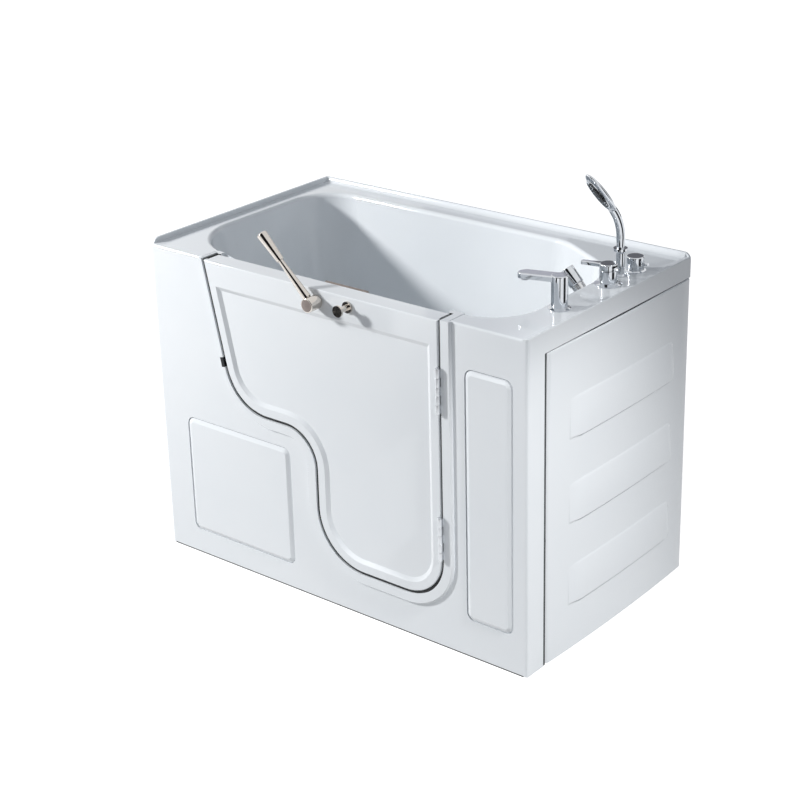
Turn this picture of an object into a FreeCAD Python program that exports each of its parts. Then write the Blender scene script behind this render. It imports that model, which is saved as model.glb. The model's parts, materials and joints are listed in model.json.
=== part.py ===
import FreeCAD, Part
import math
import os
import types

import Sketcher

# Walk-in bathtub: a moulded shell with a seat at the left, an S-shaped door that swings outwards,
# a lever latch, and bath fittings on the right-hand deck.
# The origin is on the floor under the middle of the footprint: +X runs right along the front,
# +Y to the back and +Z up. Lengths are millimetres and angles degrees.

SIZES = [
    # Shell: footprint, deck and the tile flange along the left and the back
    ("tub_length", 1320), ("tub_depth", 770), ("deck_height", 954),
    ("lip_rise", 15), ("lip_thickness", 6), ("lip_end_radius", 20), ("lip_cove", 15),
    ("shell_wall", 7), ("deck_left", 52), ("deck_right", 115), ("deck_back", 77),
    ("front_depth", 67), ("rim_radius", 12), ("edge_radius", 6), ("corner_radius", 8),
    ("roll_drop", 14), ("band_drop", 56), ("post_width", 73),
    ("bead_rise", 4), ("bead_width", 14), ("bead_radius", 3),
    # Basin: corners in plan, lean of its walls from deck to floor, seat and footwell
    ("basin_front_left_radius", 215), ("basin_front_right_radius", 140), ("basin_right_radius", 200),
    ("basin_back_right_radius", 150), ("basin_back_left_radius", 130),
    ("chamfer_across", 249), ("chamfer_along", 142),
    ("backrest_lean", 86), ("right_lean", 75), ("back_lean", 20),
    ("floor_height", 90), ("floor_radius", 40), ("seat_height", 470), ("seat_clear", 45.5),
    ("seat_edge_radius", 38), ("seat_fall", 12),
    # Opening for the door: centre line of the gap on the front, and the frame round it
    ("opening_left_top", 445), ("opening_left_step", 351), ("opening_step", 49.5),
    ("opening_right", 390), ("opening_sill", 137.5), ("opening_step_height", 522),
    ("opening_left_radius", 150), ("opening_step_radius", 107),
    ("opening_sill_left_radius", 163), ("opening_sill_right_radius", 127),
    ("door_gap", 9), ("frame_proud", 9), ("frame_body", 26), ("frame_band", 35),
    ("frame_body_left", 11), ("frame_band_left", 16), ("frame_bevel", 4),
    ("stop_overlap", 14), ("stop_thickness", 12), ("frame_fit", 3),
    # Door: skins, recessed field and seal
    ("door_drop", 3), ("door_thickness", 59), ("outer_skin", 14), ("inner_inset", 5.5),
    ("inner_wall", 14), ("inner_top", 8), ("inner_skin", 7), ("door_edge_radius", 3),
    ("field_margin", 26), ("field_bevel", 12), ("field_depth", 7), ("field_top_margin", 70),
    ("seal_lap", 11), ("seal_edge", 7), ("seal_setback", 6), ("seal_fit", 0.3),
    # Apron, access panels and end panel
    ("apron_wall", 7), ("apron_ground", 2), ("apron_return", 40),
    ("square_inset", 105), ("square_clear", 108.5), ("square_low", 80), ("square_high", 441),
    ("tall_clear", 76), ("tall_inset", 48), ("tall_low", 115), ("tall_high", 834),
    ("panel_gap", 3), ("panel_radius", 22), ("panel_thickness", 11), ("panel_bevel", 12), ("panel_rise", 6),
    ("tray_lap", 10), ("tray_thickness", 4),
    ("end_gap", 5), ("end_wall", 7), ("end_inset", 1), ("end_crown", 9), ("end_return", 20),
    ("end_corner", 22), ("end_round", 14), ("end_flare", 30), ("end_flare_run", 200),
    ("bar_edge", 3.5), ("bar_lift", 9), ("bar_crown", 4.5), ("bar_radius", 24), ("bar_height", 119),
    ("bar_low", 137), ("bar_pitch", 243), ("bar_front", 195), ("bar_back", 300),
    # Hinges on the right edge of the door
    ("hinge_height", 124), ("hinge_low", 273), ("hinge_high", 698), ("hinge_reach", 13),
    ("hinge_leaf", 4), ("knuckle_radius", 7.5), ("hinge_pin_radius", 3.5), ("hinge_run", 0.05),
    ("knuckle_gap", 0.3), ("hinge_cap", 3),
    # Latch lever, rest peg and inner handle
    ("lever_left", 17), ("lever_drop", 36), ("lever_angle", 136), ("lever_proud", 46),
    ("hub_radius", 20), ("hub_edge", 3), ("bush_flange", 3.5), ("bush_flange_radius", 16),
    ("bush_radius", 9), ("spindle_radius", 6), ("spindle_run", 0.05), ("hub_clear", 0.4),
    ("rod_socket_radius", 8), ("rod_socket_start", 9), ("rod_root_radius", 12),
    ("rod_waist_radius", 7), ("rod_waist", 145), ("lever_reach", 236), ("grip_root_radius", 10.5),
    ("grip_tip_radius", 15.5), ("grip_bore_radius", 5), ("grip_bore", 60), ("grip_dome", 5),
    ("peg_right", 89), ("peg_drop", 30), ("peg_flange_radius", 16), ("peg_waist_radius", 8),
    ("peg_flange", 6), ("peg_proud", 44),
    ("pull_span", 136), ("pull_middle", 5), ("pull_drop", 19), ("pull_standoff", 34),
    ("pull_radius", 7), ("pull_foot_radius", 12), ("pull_foot", 4),
    # Latch inside the door: scroll cam, follower pin, rod and its guides
    ("latch_slope", 35.6), ("latch_travel", 20), ("lever_sweep", 123), ("latch_rod_radius", 5),
    ("latch_pin_radius", 3), ("latch_pin_start", 13), ("latch_pin_run", 0.6), ("latch_setback", 10),
    ("latch_depth", 50), ("cam_thickness", 6), ("cam_gap", 2), ("cam_rim", 2.4),
    ("guide_size", 24), ("guide_length", 18), ("guide_first", 150),
    ("guide_second", 340), ("latch_run", 0.08), ("latch_bore_run", 1),
    ("strike_height", 28), ("strike_face", 10), ("strike_plate", 1.5), ("strike_depth", 54),
    # Base frame and levelling feet
    ("rail_size", 40), ("rail_height", 30), ("rail_line", 345), ("rail_end", 20), ("crossbar_size", 36),
    ("post_size", 30), ("post_clear", 2), ("seat_leg_line", 190), ("bearer_size", 28),
    ("foot_inset", 50), ("foot_stud_radius", 6), ("foot_pad_radius", 24), ("foot_pad", 10),
    ("foot_nut_radius", 10), ("foot_nut", 8),
    # Deck fittings: their line in from the right-hand edge, and their places from the middle
    ("fitting_inset", 68), ("shank_radius", 13), ("shank_run", 0.5), ("shank_drop", 50),
    ("nut_radius", 24), ("nut_height", 12),
    ("spout_place", -150), ("mixer_place", 76), ("guide_place", 152), ("diverter_place", 208),
    ("spout_flange_radius", 30), ("flange_height", 6), ("spout_radius", 22), ("spout_height", 91),
    ("spout_reach", 128), ("spout_arm_width", 40), ("spout_arm_thickness", 15), ("spout_fall", 6),
    ("aerator_radius", 11), ("aerator_height", 7), ("aerator_inset", 19),
    ("mixer_flange_radius", 37), ("mixer_radius", 24), ("mixer_height", 40), ("collar_height", 3),
    ("collar_inset", 2), ("collar_spigot_radius", 10), ("collar_spigot", 20), ("lift_gap", 1.6),
    ("cap_height", 14), ("cap_slot", 16), ("lift_pin_radius", 2), ("lift_pin_back", 20),
    ("lift_pin_span", 24), ("lift_pin_rise", 4.5), ("lug_width", 12), ("lug_depth", 9),
    ("fit_run", 0.05), ("mixer_lever_reach", 86), ("mixer_lever_width", 20),
    ("mixer_lever_tip", 15), ("mixer_lever_thickness", 10), ("mixer_lever_rise", -5), ("blade_edge", 2.4),
    ("diverter_flange_radius", 30), ("diverter_radius", 24.5), ("diverter_height", 36),
    ("diverter_spigot_radius", 10), ("diverter_spigot", 26), ("diverter_edge", 3),
    ("diverter_peg_radius", 4.5), ("diverter_peg", 16), ("diverter_gap", 0.4),
    # Hand shower
    ("guide_setback", 12), ("guide_radius", 11.5), ("guide_flange_radius", 19), ("guide_height", 64),
    ("guide_bore", 8.5), ("shower_nut_radius", 19), ("shower_nut_height", 14), ("cone_radius", 8.4),
    ("cone_drop", 40), ("cone_height", 6), ("cone_top_radius", 10.5), ("cone_spigot_radius", 6),
    ("cone_spigot", 14), ("handle_radius", 12), ("handle_rise", 21), ("handle_bend_radius", 140),
    ("handle_bend", 38), ("shower_swing", 70), ("head_length", 143), ("head_width", 62),
    ("head_thickness", 24), ("head_sink", 8), ("face_length", 122), ("face_width", 48), ("face_thickness", 5),
    # Drain, overflow and the angled control knob
    ("drain_inset", 160), ("drain_radius", 24), ("drain_flange_radius", 35), ("drain_flange", 3),
    ("drain_bore", 19), ("plug_radius", 22), ("plug_height", 5), ("plug_gap", 0.3),
    ("plug_stem_radius", 5), ("plug_stem", 26), ("plug_run", 0.08), ("cross_width", 5),
    ("waste_level", 52), ("waste_cup_radius", 28), ("waste_radius", 17.5), ("waste_wall", 3),
    ("waste_spigot_radius", 19.05), ("waste_spigot", 45),
    ("waste_reach", 300), ("waste_ground", 6), ("waste_sump", 4), ("waste_bend_radius", 12),
    ("pipe_fit", 0.3),
    ("overflow_place", 38), ("overflow_low", 28), ("overflow_stub_radius", 10),
    ("overflow_pipe_radius", 11), ("overflow_pipe_inset", 97), ("overflow_neck_radius", 18),
    ("overflow_tilt", 46), ("overflow_neck", 32), ("knob_radius", 21), ("knob_length", 50),
    ("knob_gap", 0.4), ("knob_spigot_radius", 8), ("knob_spigot", 20), ("knob_edge", 2),
    # Pipes under the deck
    ("valve_size", 34), ("valve_height", 54), ("tail_radius", 7.5), ("tail_spread", 24),
    ("tail_offset", 8), ("tail_inset", 18), ("tail_drop", 38), ("tail_thread_radius", 10.48),
    ("tail_thread", 18), ("spout_pipe_radius", 8), ("pipe_drop", 12), ("elbow_radius", 10),
    # Length by which every cutting shape runs past the face that it opens
    ("overrun", 20),
]

# Shares of the sizes that they multiply
crossbar_shares = (-0.76, -0.24, 0.0, 0.42, 0.92)
seat_leg_shares = (-0.76, -0.24)
foot_row_shares = (-1, 1)
hinge_knuckles = 5
chamfer_grow_share = 0.27
right_grow_share = 0.58
round_end_share = 0.98
cove_rise_share = 1 - math.sqrt(0.5)

doc = FreeCAD.newDocument("walk_in_bathtub")
sheet = doc.addObject("Spreadsheet::Sheet", "sizes")
for row, (alias, number) in enumerate(SIZES, start=1):
    sheet.set(f"A{row}", alias)
    sheet.set(f"B{row}", str(number))
    sheet.setAlias(f"B{row}", alias)
doc.recompute()


class Size:
    # A number kept together with the sheet formula that gives it
    def __init__(self, value, text):
        self.value = float(value)
        self.text = text

    def __add__(self, other):
        other = as_size(other)
        return Size(self.value + other.value, f"({self.text} + {other.text})")

    def __sub__(self, other):
        other = as_size(other)
        return Size(self.value - other.value, f"({self.text} - {other.text})")

    def __rsub__(self, other):
        return as_size(other) - self

    def __mul__(self, other):
        other = as_size(other)
        return Size(self.value * other.value, f"({self.text} * {other.text})")

    def __truediv__(self, other):
        other = as_size(other)
        return Size(self.value / other.value, f"({self.text} / {other.text})")

    def __neg__(self):
        return Size(-self.value, f"(0 - {self.text})")

    __radd__ = __add__
    __rmul__ = __mul__


def as_size(number):
    if isinstance(number, Size):
        return number
    return Size(number, f"({number!r})")


def cosine(angle):
    return Size(math.cos(math.radians(angle.value)), f"cos({angle.text})")


def sine(angle):
    return Size(math.sin(math.radians(angle.value)), f"sin({angle.text})")


def root(size):
    return Size(math.sqrt(size.value), f"sqrt({size.text})")


s = types.SimpleNamespace(**{alias: Size(getattr(sheet, alias), f"sizes.{alias}")
                             for alias, number in SIZES})
nodes = []
x_axis = FreeCAD.Vector(1, 0, 0)
y_axis = FreeCAD.Vector(0, 1, 0)
z_axis = FreeCAD.Vector(0, 0, 1)
quarter = as_size(90)
# How a flat sketch is turned to lie in each plane, and the direction that it is raised in
planes = {
    "XY": (FreeCAD.Rotation(), z_axis, "z"),
    "XZ": (FreeCAD.Rotation(x_axis, quarter.value), y_axis, "y"),
    "YZ": (FreeCAD.Rotation(FreeCAD.Vector(1, 1, 1), 120), x_axis, "x"),
}
# Turns that carry an upright piece's own axis to the front, the back, the left and the right
to_front = (x_axis, quarter)
to_back = (x_axis, -quarter)
to_left = (y_axis, -quarter)
to_right = (y_axis, quarter)


def bind(item, name, size):
    setattr(item, name, size.value)
    item.setExpression(name, size.text)


def place(item, at, turn=None):
    # Set a piece down at a point, turned about an axis through its own origin
    at = [as_size(number) for number in at]
    rotation = FreeCAD.Rotation()
    if turn:
        rotation = FreeCAD.Rotation(turn[0], turn[1].value)
    base = FreeCAD.Vector(*[number.value for number in at])
    item.Placement = FreeCAD.Placement(base, rotation)
    for letter, number in zip("xyz", at):
        item.setExpression(f"Placement.Base.{letter}", number.text)
    if turn:
        item.setExpression("Placement.Rotation.Angle", turn[1].text)
    return item


def node(item, label):
    item.Label = label
    nodes.append(item)
    return item


def corner_tangents(corners, index):
    # Points where the rounding of a corner starts and ends, and its centre
    before, corner, after = (corners[(index + step) % len(corners)] for step in (-1, 0, 1))
    here = FreeCAD.Vector(corner[0].value, corner[1].value, 0)
    back = (FreeCAD.Vector(before[0].value, before[1].value, 0) - here).normalize()
    ahead = (FreeCAD.Vector(after[0].value, after[1].value, 0) - here).normalize()
    radius = corner[2].value
    half = back.getAngle(ahead) / 2
    reach = radius / math.tan(half) if radius else 0
    middle = (back + ahead).normalize() if radius else back
    return here + back * reach, here + ahead * reach, here + middle * (radius / math.sin(half)), here


def outline(plane, level, corners, bows=None):
    # A closed sketch through the corners (across, up, radius). An edge named in bows is an arc that
    # stands out from its chord by the size given, or in if that is negative.
    bows = bows or {}
    corners = [tuple(as_size(part) for part in (list(corner) + [0])[:3]) for corner in corners]
    sketch = doc.addObject("Sketcher::SketchObject", "sketch")
    rotation, raise_axis, letter = planes[plane]
    level = as_size(level)
    sketch.Placement = FreeCAD.Placement(raise_axis * level.value, rotation)
    sketch.setExpression(f"Placement.Base.{letter}", level.text)
    count = len(corners)
    spots = [corner_tangents(corners, index) for index in range(count)]
    edges = []
    bounds = []
    for index in range(count):
        start = spots[index][1]
        end = spots[(index + 1) % count][0]
        if index in bows:
            bow = bows[index]
            chord = end - start
            out = FreeCAD.Vector(chord.y, -chord.x, 0).normalize()
            arc = Part.Arc(start, (start + end) * 0.5 + out * bow.value, end)
            edges.append(arc)
            # An arc is kept anticlockwise, so a hollow edge runs from its second end to its first
            bounds.append((1, 2) if bow.value > 0 else (2, 1))
        else:
            edges.append(Part.LineSegment(start, end))
            bounds.append((1, 2))
    rules = []
    driven = []

    def rule(*parts, size=None):
        if size is not None:
            driven.append((len(rules), size))
            parts = parts + (size.value,)
        rules.append(Sketcher.Constraint(*parts))

    sketch.addGeometry(edges, False)
    extra = count
    for index, (across, up, radius) in enumerate(corners):
        before = (index - 1) % count
        end_before = bounds[before][1]
        start_here = bounds[index][0]
        if radius.value:
            start, end, centre, here = spots[index]
            first = math.atan2(start.y - centre.y, start.x - centre.x)
            last = math.atan2(end.y - centre.y, end.x - centre.x)
            left_turn = (start - here).cross(end - here).z < 0
            if not left_turn:
                first, last = last, first
            ends = (1, 2) if left_turn else (2, 1)
            circle = Part.Circle(centre, z_axis, radius.value)
            sketch.addGeometry(Part.ArcOfCircle(circle, first, last), False)
            sketch.addGeometry(Part.Point(here), True)
            arc, point = extra, extra + 1
            extra += 2
            rule("Tangent", before, end_before, arc, ends[0])
            rule("Tangent", arc, ends[1], index, start_here)
            rule("Radius", arc, size=radius)
            rule("PointOnObject", point, 1, before)
            rule("PointOnObject", point, 1, index)
            rule("DistanceX", -1, 1, point, 1, size=across)
            rule("DistanceY", -1, 1, point, 1, size=up)
        else:
            rule("Coincident", before, end_before, index, start_here)
            rule("DistanceX", -1, 1, index, start_here, size=across)
            rule("DistanceY", -1, 1, index, start_here, size=up)
    for index, bow in bows.items():
        first = corners[index]
        last = corners[(index + 1) % count]
        across = last[0] - first[0]
        up = last[1] - first[1]
        rise = bow if bow.value > 0 else -bow
        rule("Radius", index, size=((across * across + up * up) / 4 + rise * rise) / (rise * 2))
    sketch.addConstraint(rules)
    for index, size in driven:
        sketch.setExpression(f"Constraints[{index}]", size.text)
    return sketch


def raise_sketch(sketch, plane, length):
    solid = doc.addObject("Part::Extrusion", "raised")
    solid.Base = sketch
    solid.DirMode = "Custom"
    solid.Dir = planes[plane][1]
    solid.Solid = True
    bind(solid, "LengthFwd", length)
    return solid


def prism(plane, corners, low, high, bows=None):
    low = as_size(low)
    high = as_size(high)
    return raise_sketch(outline(plane, low, corners, bows), plane, high - low)


def box(x_low, x_high, y_low, y_high, z_low, z_high):
    solid = doc.addObject("Part::Box", "box")
    bind(solid, "Length", as_size(x_high) - x_low)
    bind(solid, "Width", as_size(y_high) - y_low)
    bind(solid, "Height", as_size(z_high) - z_low)
    return place(solid, (x_low, y_low, z_low))


def rod(radius, length, at, turn=None):
    solid = doc.addObject("Part::Cylinder", "rod")
    bind(solid, "Radius", radius)
    bind(solid, "Height", length)
    return place(solid, at, turn)


def turned(profile, at, turn=None):
    # A piece turned on a lathe: profile points are (radius, height along its axis, rounding)
    solid = doc.addObject("Part::Revolution", "turned")
    solid.Source = outline("XZ", 0, profile)
    solid.Axis = z_axis
    solid.Base = FreeCAD.Vector(0, 0, 0)
    solid.Angle = 360
    solid.Solid = True
    return place(solid, at, turn)


def loft(*sketches):
    solid = doc.addObject("Part::Loft", "loft")
    solid.Sections = list(sketches)
    solid.Solid = True
    solid.Ruled = True
    return solid


def cut(base, *tools):
    for tool in tools:
        solid = doc.addObject("Part::Cut", "cut")
        solid.Base = base
        solid.Tool = tool
        base = solid
    return base


def fuse(*solids):
    joined = doc.addObject("Part::MultiFuse", "fused")
    joined.Shapes = list(solids)
    joined.Refine = True
    return joined


def common(first, second):
    solid = doc.addObject("Part::Common", "shared")
    solid.Base = first
    solid.Tool = second
    return solid


def group(*solids):
    together = doc.addObject("Part::Compound", "group")
    together.Links = list(solids)
    return together


def rounded(base, radius, chooses):
    # Round the edges that the test picks out by the middle of their bounding box and their shape
    doc.recompute()
    solid = doc.addObject("Part::Fillet", "rounded")
    solid.Base = base
    picked = [number for number, edge in enumerate(base.Shape.Edges, start=1) if chooses(edge)]
    solid.Edges = [(number, radius.value, radius.value) for number in picked]
    return solid


def lies_at(axis, size):
    # Test for edges that lie in the plane across an axis at a size
    level = as_size(size).value

    def test(edge):
        bounds = edge.BoundBox
        low, high = {"x": (bounds.XMin, bounds.XMax), "y": (bounds.YMin, bounds.YMax),
                     "z": (bounds.ZMin, bounds.ZMax)}[axis]
        return abs(low - level) < near and abs(high - level) < near
    return test


def all_of(*tests):
    return lambda edge: all(test(edge) for test in tests)


near = 0.01
left = -s.tub_length / 2
right = s.tub_length / 2
front = -s.tub_depth / 2
back = s.tub_depth / 2
basin_left = left + s.deck_left
basin_right = right - s.deck_right
basin_front = front + s.front_depth
basin_back = back - s.deck_back
deck_under = s.deck_height - s.shell_wall
roll_low = s.deck_height - s.roll_drop
band_low = s.deck_height - s.band_drop
floor_under = s.floor_height - s.shell_wall
door_face = front - s.frame_proud
door_back = door_face + s.door_thickness
door_top = s.deck_height - s.door_drop
skin_back = door_face + s.outer_skin
lever_x = -s.lever_left
lever_z = s.deck_height - s.lever_drop
half_gap = s.door_gap / 2
seat_end = -s.opening_step - s.seat_clear
fitting_line = right - s.fitting_inset
drain_x = basin_right - s.drain_inset
overflow_line = right - s.overflow_pipe_inset
opening_lean = (s.opening_left_top - s.opening_left_step) / (s.deck_height - s.opening_step_height)


def opening_corners(grow, grow_left, top):
    # The S-shaped opening on the front, grown all round, with its own growth along the leaning side
    lean_out = opening_lean * (top - s.deck_height)
    step_level = s.opening_step_height - grow
    sill_level = s.opening_sill - grow
    return [
        (-s.opening_left_top - lean_out - grow_left, top),
        (opening_lean * grow - s.opening_left_step - grow_left, step_level, s.opening_left_radius + grow),
        (-s.opening_step - grow, step_level, s.opening_step_radius - grow),
        (-s.opening_step - grow, sill_level, s.opening_sill_left_radius + grow),
        (s.opening_right + grow, sill_level, s.opening_sill_right_radius + grow),
        (s.opening_right + grow, top),
    ]


def opening_prism(grow, grow_left, top, low, high):
    return prism("XZ", opening_corners(grow, grow_left, top), low, high)


def basin_corners(grow, left_in, right_in, back_in):
    west = basin_left + left_in - grow
    east = basin_right - right_in + grow
    south = basin_front - grow
    north = basin_back - back_in + grow
    return [
        (west, south, s.basin_front_left_radius + grow),
        (east, south, s.basin_front_right_radius + grow),
        (east, basin_back - back_in - s.chamfer_along + grow * right_grow_share, s.basin_right_radius + grow),
        (basin_right - right_in - s.chamfer_across + grow * chamfer_grow_share, north,
         s.basin_back_right_radius + grow),
        (west, north, s.basin_back_left_radius + grow),
    ]


def basin_block(grow, floor, seat, seat_end):
    # The basin's hollow, or its outside when grown by the wall: leaning walls down to the footwell,
    # with the seat left standing at its left end
    zero = as_size(0)
    tapered = loft(outline("XY", s.deck_height, basin_corners(grow, zero, zero, zero)),
                   outline("XY", floor, basin_corners(grow, s.backrest_lean, s.right_lean, s.back_lean)))
    tapered = rounded(tapered, s.floor_radius + grow, lies_at("z", floor))
    bench = prism("XZ", [
        (left - s.overrun, floor - s.overrun),
        (seat_end, floor - s.overrun),
        (seat_end, seat - s.seat_fall, s.seat_edge_radius - grow),
        (left - s.overrun, seat),
    ], front, back)
    return cut(tapered, bench)


def deck_spots():
    # Where the shanks of the spout, mixer, shower guide and diverter pass the deck
    line = fitting_line
    return ((line, s.spout_place), (line, s.mixer_place), (line - s.guide_setback, s.guide_place),
            (line, s.diverter_place))


def build_shell():
    zero = as_size(0)
    plan = [(left, front, s.corner_radius), (right, front, s.corner_radius), (right, back), (left, back)]
    deck = prism("XY", plan, band_low, s.deck_height)
    deck = rounded(deck, s.edge_radius, all_of(
        lies_at("z", s.deck_height),
        lambda edge: edge.BoundBox.Center.y < front.value + s.corner_radius.value))
    hollow = box(left + s.shell_wall, right - s.shell_wall, front + s.shell_wall, back - s.shell_wall,
                 band_low - s.overrun, deck_under)
    below_roll = box(left - s.overrun, right - s.shell_wall, front - s.overrun, back + s.overrun,
                     band_low - s.overrun, roll_low)
    below_post = box(right - s.post_width, right + s.overrun, front - s.overrun, front + s.post_width,
                     band_low - s.overrun, roll_low)
    deck = cut(deck, hollow, below_roll, below_post)
    outside = basin_block(s.shell_wall, floor_under, s.seat_height - s.shell_wall, seat_end - s.shell_wall)
    inside = basin_block(zero, s.floor_height, s.seat_height, seat_end)
    shell = cut(fuse(deck, outside), inside)

    def on_rim(edge):
        bounds = edge.BoundBox
        inboard = bounds.XMin > left.value + s.lip_thickness.value
        inboard = inboard and bounds.XMax < right.value - s.bead_width.value
        return inboard and bounds.YMin > front.value + s.corner_radius.value

    shell = rounded(shell, s.rim_radius, all_of(lies_at("z", s.deck_height), on_rim))

    bead_plan = [(right - s.bead_width, front), (right, front, s.corner_radius),
                 (right, back - s.lip_thickness), (right - s.bead_width, back - s.lip_thickness)]
    bead = prism("XY", bead_plan, deck_under, s.deck_height + s.bead_rise)
    bead = rounded(bead, s.bead_radius, all_of(
        lies_at("z", s.deck_height + s.bead_rise),
        lambda edge: edge.BoundBox.Center.y < back.value - s.corner_radius.value))
    lip_top = s.deck_height + s.lip_rise
    left_lip = prism("YZ", [(front + s.corner_radius, roll_low), (back, roll_low), (back, lip_top),
                            (front + s.corner_radius, lip_top, s.lip_end_radius)],
                     left, left + s.lip_thickness)
    back_lip = prism("XZ", [(left, roll_low), (right, roll_low), (right, lip_top, s.lip_end_radius),
                            (left, lip_top)], back - s.lip_thickness, back)
    cove_back = back - s.lip_thickness
    cove_rise = s.lip_cove * cove_rise_share
    cove = prism("YZ", [(cove_back - s.lip_cove, s.deck_height), (cove_back, s.deck_height),
                        (cove_back, s.deck_height + s.lip_cove)],
                 left + s.lip_thickness, right - s.bead_width, {2: -cove_rise})
    shell = fuse(shell, bead, left_lip, back_lip, cove)

    doorway = opening_prism(s.frame_body + s.frame_fit, s.frame_body_left + s.frame_fit,
                            lip_top + s.overrun, front - s.overrun, basin_front)
    holes = [rod(s.shank_radius + s.shank_run, s.band_drop + s.overrun, (line, spot, band_low))
             for line, spot in deck_spots()]
    drain_hole = rod(s.drain_radius, s.overrun * 2, (drain_x, 0, floor_under - s.overrun))
    overflow_hole = rod(s.overflow_stub_radius + s.shank_run, s.deck_right,
                        (basin_right - s.deck_right / 2, s.overflow_place, s.deck_height - s.overflow_low),
                        to_right)
    node(cut(shell, doorway, drain_hole, overflow_hole, *holes), "tub_shell")


def panel_corners(x_low, x_high, z_low, z_high, grow):
    radius = s.panel_radius + grow
    return [(x_low - grow, z_low - grow, radius), (x_high + grow, z_low - grow, radius),
            (x_high + grow, z_high + grow, radius), (x_low - grow, z_high + grow, radius)]


def build_apron():
    inner = s.apron_wall
    inner_radius = s.corner_radius - s.apron_wall
    post_end = front + s.post_width
    sheet_plan = [
        (left, front + s.apron_return), (left, front, s.corner_radius), (right, front, s.corner_radius),
        (right, post_end), (right - inner, post_end), (right - inner, front + inner, inner_radius),
        (left + inner, front + inner, inner_radius), (left + inner, front + s.apron_return),
    ]
    apron = prism("XY", sheet_plan, s.apron_ground, roll_low)
    doorway = opening_prism(s.frame_body + s.frame_fit, s.frame_body_left + s.frame_fit,
                            s.deck_height + s.overrun, front - s.overrun, front + inner + s.overrun)
    apron = cut(apron, doorway)
    trays = []
    square = (left + s.square_inset, -s.opening_step - s.square_clear, s.square_low, s.square_high)
    tall = (s.opening_right + s.tall_clear, right - s.tall_inset, s.tall_low, s.tall_high)
    apron_back = front + inner
    for label, spot in (("access_panel_square", square), ("access_panel_tall", tall)):
        opening = prism("XZ", panel_corners(*spot, s.panel_gap), front - s.overrun, apron_back)
        apron = cut(apron, opening)
        tray = cut(prism("XZ", panel_corners(*spot, s.tray_lap), apron_back, apron_back + s.tray_thickness),
                   prism("XZ", panel_corners(*spot, -s.tray_lap), apron_back, apron_back + s.overrun))
        trays.append(tray)
        panel_face = apron_back - s.panel_thickness
        shoulder = panel_face + s.panel_rise
        rim = panel_corners(*spot, as_size(0))
        border = loft(outline("XZ", shoulder, rim),
                      outline("XZ", panel_face, panel_corners(*spot, -s.panel_bevel)))
        node(fuse(prism("XZ", rim, shoulder, apron_back), border), label)
    node(fuse(apron, *trays), "front_apron")


def build_end_panel():
    outer = right - s.end_inset
    inner = outer - s.end_wall
    tip = outer - s.end_return
    start = front + s.post_width + s.end_gap
    end = back
    top = band_low - s.end_gap
    section = prism("XY", [
        (tip, start), (outer, start), (outer, end), (tip, end),
        (tip, end - s.end_wall), (inner, end - s.end_wall),
        (inner, start + s.end_wall), (tip, start + s.end_wall),
    ], s.apron_ground, top, {1: s.end_crown, 5: -s.end_crown})
    face = prism("YZ", [(start, s.apron_ground), (end, s.apron_ground), (end, top, s.end_corner),
                        (start, top, s.end_corner)], tip - s.overrun, right + s.overrun)
    # The front edge is rounded by a shape that flares away behind it, outside the crown
    flare = prism("XY", [
        (tip - s.overrun, start), (outer, start, s.end_round), (outer + s.end_flare, start + s.end_flare_run),
        (outer + s.end_flare, end + s.overrun), (tip - s.overrun, end + s.overrun),
    ], s.apron_ground - s.overrun, band_low)
    panel = common(common(section, face), flare)
    # A ledge inside the top edge closes the view under the band, and ends short of the back post
    ledge_end = end - s.end_wall - s.post_size - s.end_gap
    ledge = prism("XY", [
        (tip, start + s.end_wall / 2), (inner + s.end_wall / 2, start + s.end_wall / 2),
        (inner + s.end_wall / 2, ledge_end), (tip, ledge_end),
    ], top - s.end_wall, top, {1: s.end_crown})
    ledge = common(ledge, face)
    # Each bar follows the crown of the panel and stands a little proud of it
    bars = []
    for step in range(3):
        low = s.bar_low + s.bar_pitch * step
        swell = prism("XY", [
            (inner, -s.bar_front), (outer + s.bar_lift, -s.bar_front),
            (outer + s.bar_lift, s.bar_back), (inner, s.bar_back),
        ], low, low + s.bar_height, {1: s.bar_crown})
        shape = prism("YZ", [(-s.bar_front, low, s.bar_radius), (s.bar_back, low, s.bar_radius),
                             (s.bar_back, low + s.bar_height, s.bar_radius),
                             (-s.bar_front, low + s.bar_height, s.bar_radius)],
                      inner, right + s.overrun)
        bars.append(rounded(common(swell, shape), s.bar_edge,
                            lambda edge: edge.BoundBox.XMin > outer.value + near))
    behind = prism("XY", [(tip - s.overrun, start), (inner, start), (inner, end), (tip - s.overrun, end)],
                   s.apron_ground, band_low, {1: s.end_crown})
    bars = [cut(bar, behind) for bar in bars]
    node(fuse(panel, ledge, *bars), "end_panel")


def strike_turn():
    # Lean of the left jamb from upright, and the point of the jamb that the latch rod aims at
    lean_angle = Size(math.degrees(math.atan(opening_lean.value)), f"(atan({opening_lean.text}) / 1 deg)")
    along = latch_reach()
    return lean_angle, lever_x - cosine(s.latch_slope) * along, lever_z - sine(s.latch_slope) * along


def latch_reach():
    # Distance from the lever's axis to the middle of the gap, along the latch rod
    sideways = lever_x + s.opening_left_top - opening_lean * (s.deck_height - lever_z)
    return sideways / (cosine(s.latch_slope) + opening_lean * sine(s.latch_slope))


def along_latch(distance, y):
    return (lever_x - cosine(s.latch_slope) * distance, y, lever_z - sine(s.latch_slope) * distance)


def latch_line():
    return (y_axis, -(quarter + s.latch_slope))


latch_y = door_back - s.latch_depth / 2 + s.inner_skin
# Back end of the lever's spindle, with the cam flush on it, clear of the latch rod
lever_back = latch_y - s.latch_rod_radius - s.cam_gap


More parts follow.
